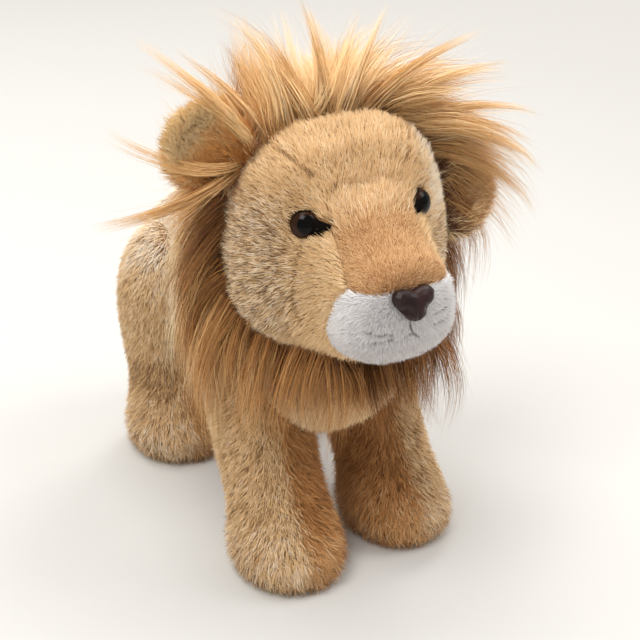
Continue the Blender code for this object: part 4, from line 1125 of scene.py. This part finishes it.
for side, word in ((1, "right"), (-1, "left")):
    outer, inner = (Vector(end) * MM for end in EYE_CORNERS)
    bm = bmesh.new()
    bmesh.ops.create_uvsphere(bm, u_segments=24, v_segments=16, radius=1)
    for vert in bm.verts:
        along, across, up = vert.co
        across = across / max(math.hypot(across, up), 0.1) * (1 - along) / 2
        vert.co = Vector((along * WEDGE_HALF[0], across * WEDGE_HALF[1], up * WEDGE_HALF[2]))
    turn = (inner - outer).to_track_quat("X", "Z").to_matrix() @ Matrix.Rotation(math.pi / 2, 3, "X")
    for vert in bm.verts:
        vert.co = turn @ vert.co + (outer + inner) / 2
        vert.co.x *= side
    bmesh.ops.recalc_face_normals(bm, faces=bm.faces)
    mesh = bpy.data.meshes.new(f"eye_wedge_{word}")
    bm.to_mesh(mesh)
    bm.free()
    mesh.shade_smooth()
    add_piece(f"eye_wedge_{word}", mesh, "felt", "body")

for washer in ("eye_washer_right", "eye_washer_left", "nose_washer"):
    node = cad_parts[washer]
    node.data.materials.clear()
    node.data.materials.append(FINISHES["washer"])

# Nose
nose = stuffed_form("nose_pad", ("nose",), 0.32 * MM, 4, "moulding", "body")

NOSE_DENTS = (  # across, up, half width, half height and depth, MM: two nostrils and the groove between
    (-5.0, 151.6, 1.9, 1.5, 2.2),
    (5.0, 151.6, 1.9, 1.5, 2.2),
    (0.0, 148.5, 0.7, 3.2, 1.0),
)
corners = np.empty((len(nose.data.vertices), 3))
nose.data.vertices.foreach_get("co", corners.ravel())
faced = np.empty((len(nose.data.vertices), 3))
nose.data.vertices.foreach_get("normal", faced.ravel())
for across, up, wide, tall, depth in NOSE_DENTS:
    reach = ((corners[:, 0] / MM - across) / wide) ** 2 + ((corners[:, 2] / MM - up) / tall) ** 2
    corners[:, 1] += depth * MM * np.exp(-reach) * (faced[:, 1] < -0.2)
nose.data.vertices.foreach_set("co", corners.ravel())
nose.data.update()

# Floor, light and camera
FLOOR_COLOUR = (247, 244, 238)


def floor_finish():
    """Pale paper that shows its own colour to the camera and still takes a soft shadow."""
    finish = Finish("pale floor")
    place = finish.object_place()
    across, along = (finish.node("ShaderNodeSeparateXYZ", {}, {0: place}, axis) for axis in (0, 1))
    # Darker toward the far right: painted shade that evens out the lamps' brighter pool there.
    far = finish.rise(across + along * 0.3, -0.17, 0.95)
    colour = finish.mix(far, linear(213, 212, 209), linear(190, 188, 185))
    return finish.surface(Base_Color=colour, Roughness=0.9, Specular_IOR_Level=0.1)


FINISHES["floor"] = floor_finish()
bm = bmesh.new()
bmesh.ops.create_grid(bm, x_segments=8, y_segments=8, size=6.0)
floor_mesh = bpy.data.meshes.new("floor")
bm.to_mesh(floor_mesh)
bm.free()
floor = bpy.data.objects.new("floor", floor_mesh)
bpy.context.scene.collection.objects.link(floor)
floor_mesh.materials.append(FINISHES["floor"])

LAMPS = (  # name, place, width, power in watts, colour
    ("key", (-0.80, -0.45, 1.75), 0.9, 19.5, (1.0, 0.98, 0.95)),
    ("fill", (1.25, -0.50, 1.50), 1.0, 11, (1.0, 0.985, 0.965)),
    ("top", (-0.05, 0.75, 2.1), 1.4, 24, (1.0, 0.985, 0.965)),
    ("rim", (1.3, 1.2, 1.4), 0.8, 15, (1.0, 0.97, 0.93)),
)
for name, place, width, power, colour in LAMPS:
    lamp = bpy.data.lights.new(name, "AREA")
    lamp.shape = "SQUARE"
    lamp.size = width
    lamp.energy = power
    lamp.color = colour
    holder = bpy.data.objects.new(name, lamp)
    bpy.context.scene.collection.objects.link(holder)
    holder.location = place
    holder.rotation_euler = (CAMERA_AIM - Vector(place)).to_track_quat("-Z", "Y").to_euler()

world = bpy.data.worlds.new("studio")
bpy.context.scene.world = world
world.use_nodes = True
backdrop = Finish("backdrop")
bpy.data.materials.remove(backdrop.material)
backdrop.tree = world.node_tree
backdrop.tree.nodes.clear()
soft_light = backdrop.node("ShaderNodeBackground", {}, {"Color": (1.0, 0.99, 0.975, 1.0), "Strength": 0.48})
pale = backdrop.node("ShaderNodeBackground", {}, {"Color": linear(*FLOOR_COLOUR), "Strength": 1.0})
seen = backdrop.node("ShaderNodeLightPath", {}, {}, 0)
shown = backdrop.node("ShaderNodeMixShader", {}, {0: seen, 1: soft_light, 2: pale})
backdrop.node("ShaderNodeOutputWorld", {}, {"Surface": shown})

back = Vector((
    math.sin(CAMERA_AZIMUTH) * math.cos(CAMERA_ELEVATION),
    -math.cos(CAMERA_AZIMUTH) * math.cos(CAMERA_ELEVATION),
    math.sin(CAMERA_ELEVATION),
))
camera = bpy.data.objects.new("camera", bpy.data.cameras.new("camera"))
bpy.context.scene.collection.objects.link(camera)
camera.data.lens = CAMERA_LENS
camera.data.sensor_width = CAMERA_SENSOR
camera.location = CAMERA_AIM + back * CAMERA_DISTANCE
camera.rotation_mode = "QUATERNION"
camera.rotation_quaternion = (-back).to_track_quat("-Z", "Y")
bpy.context.scene.camera = camera
bpy.context.scene.view_settings.view_transform = "Standard"
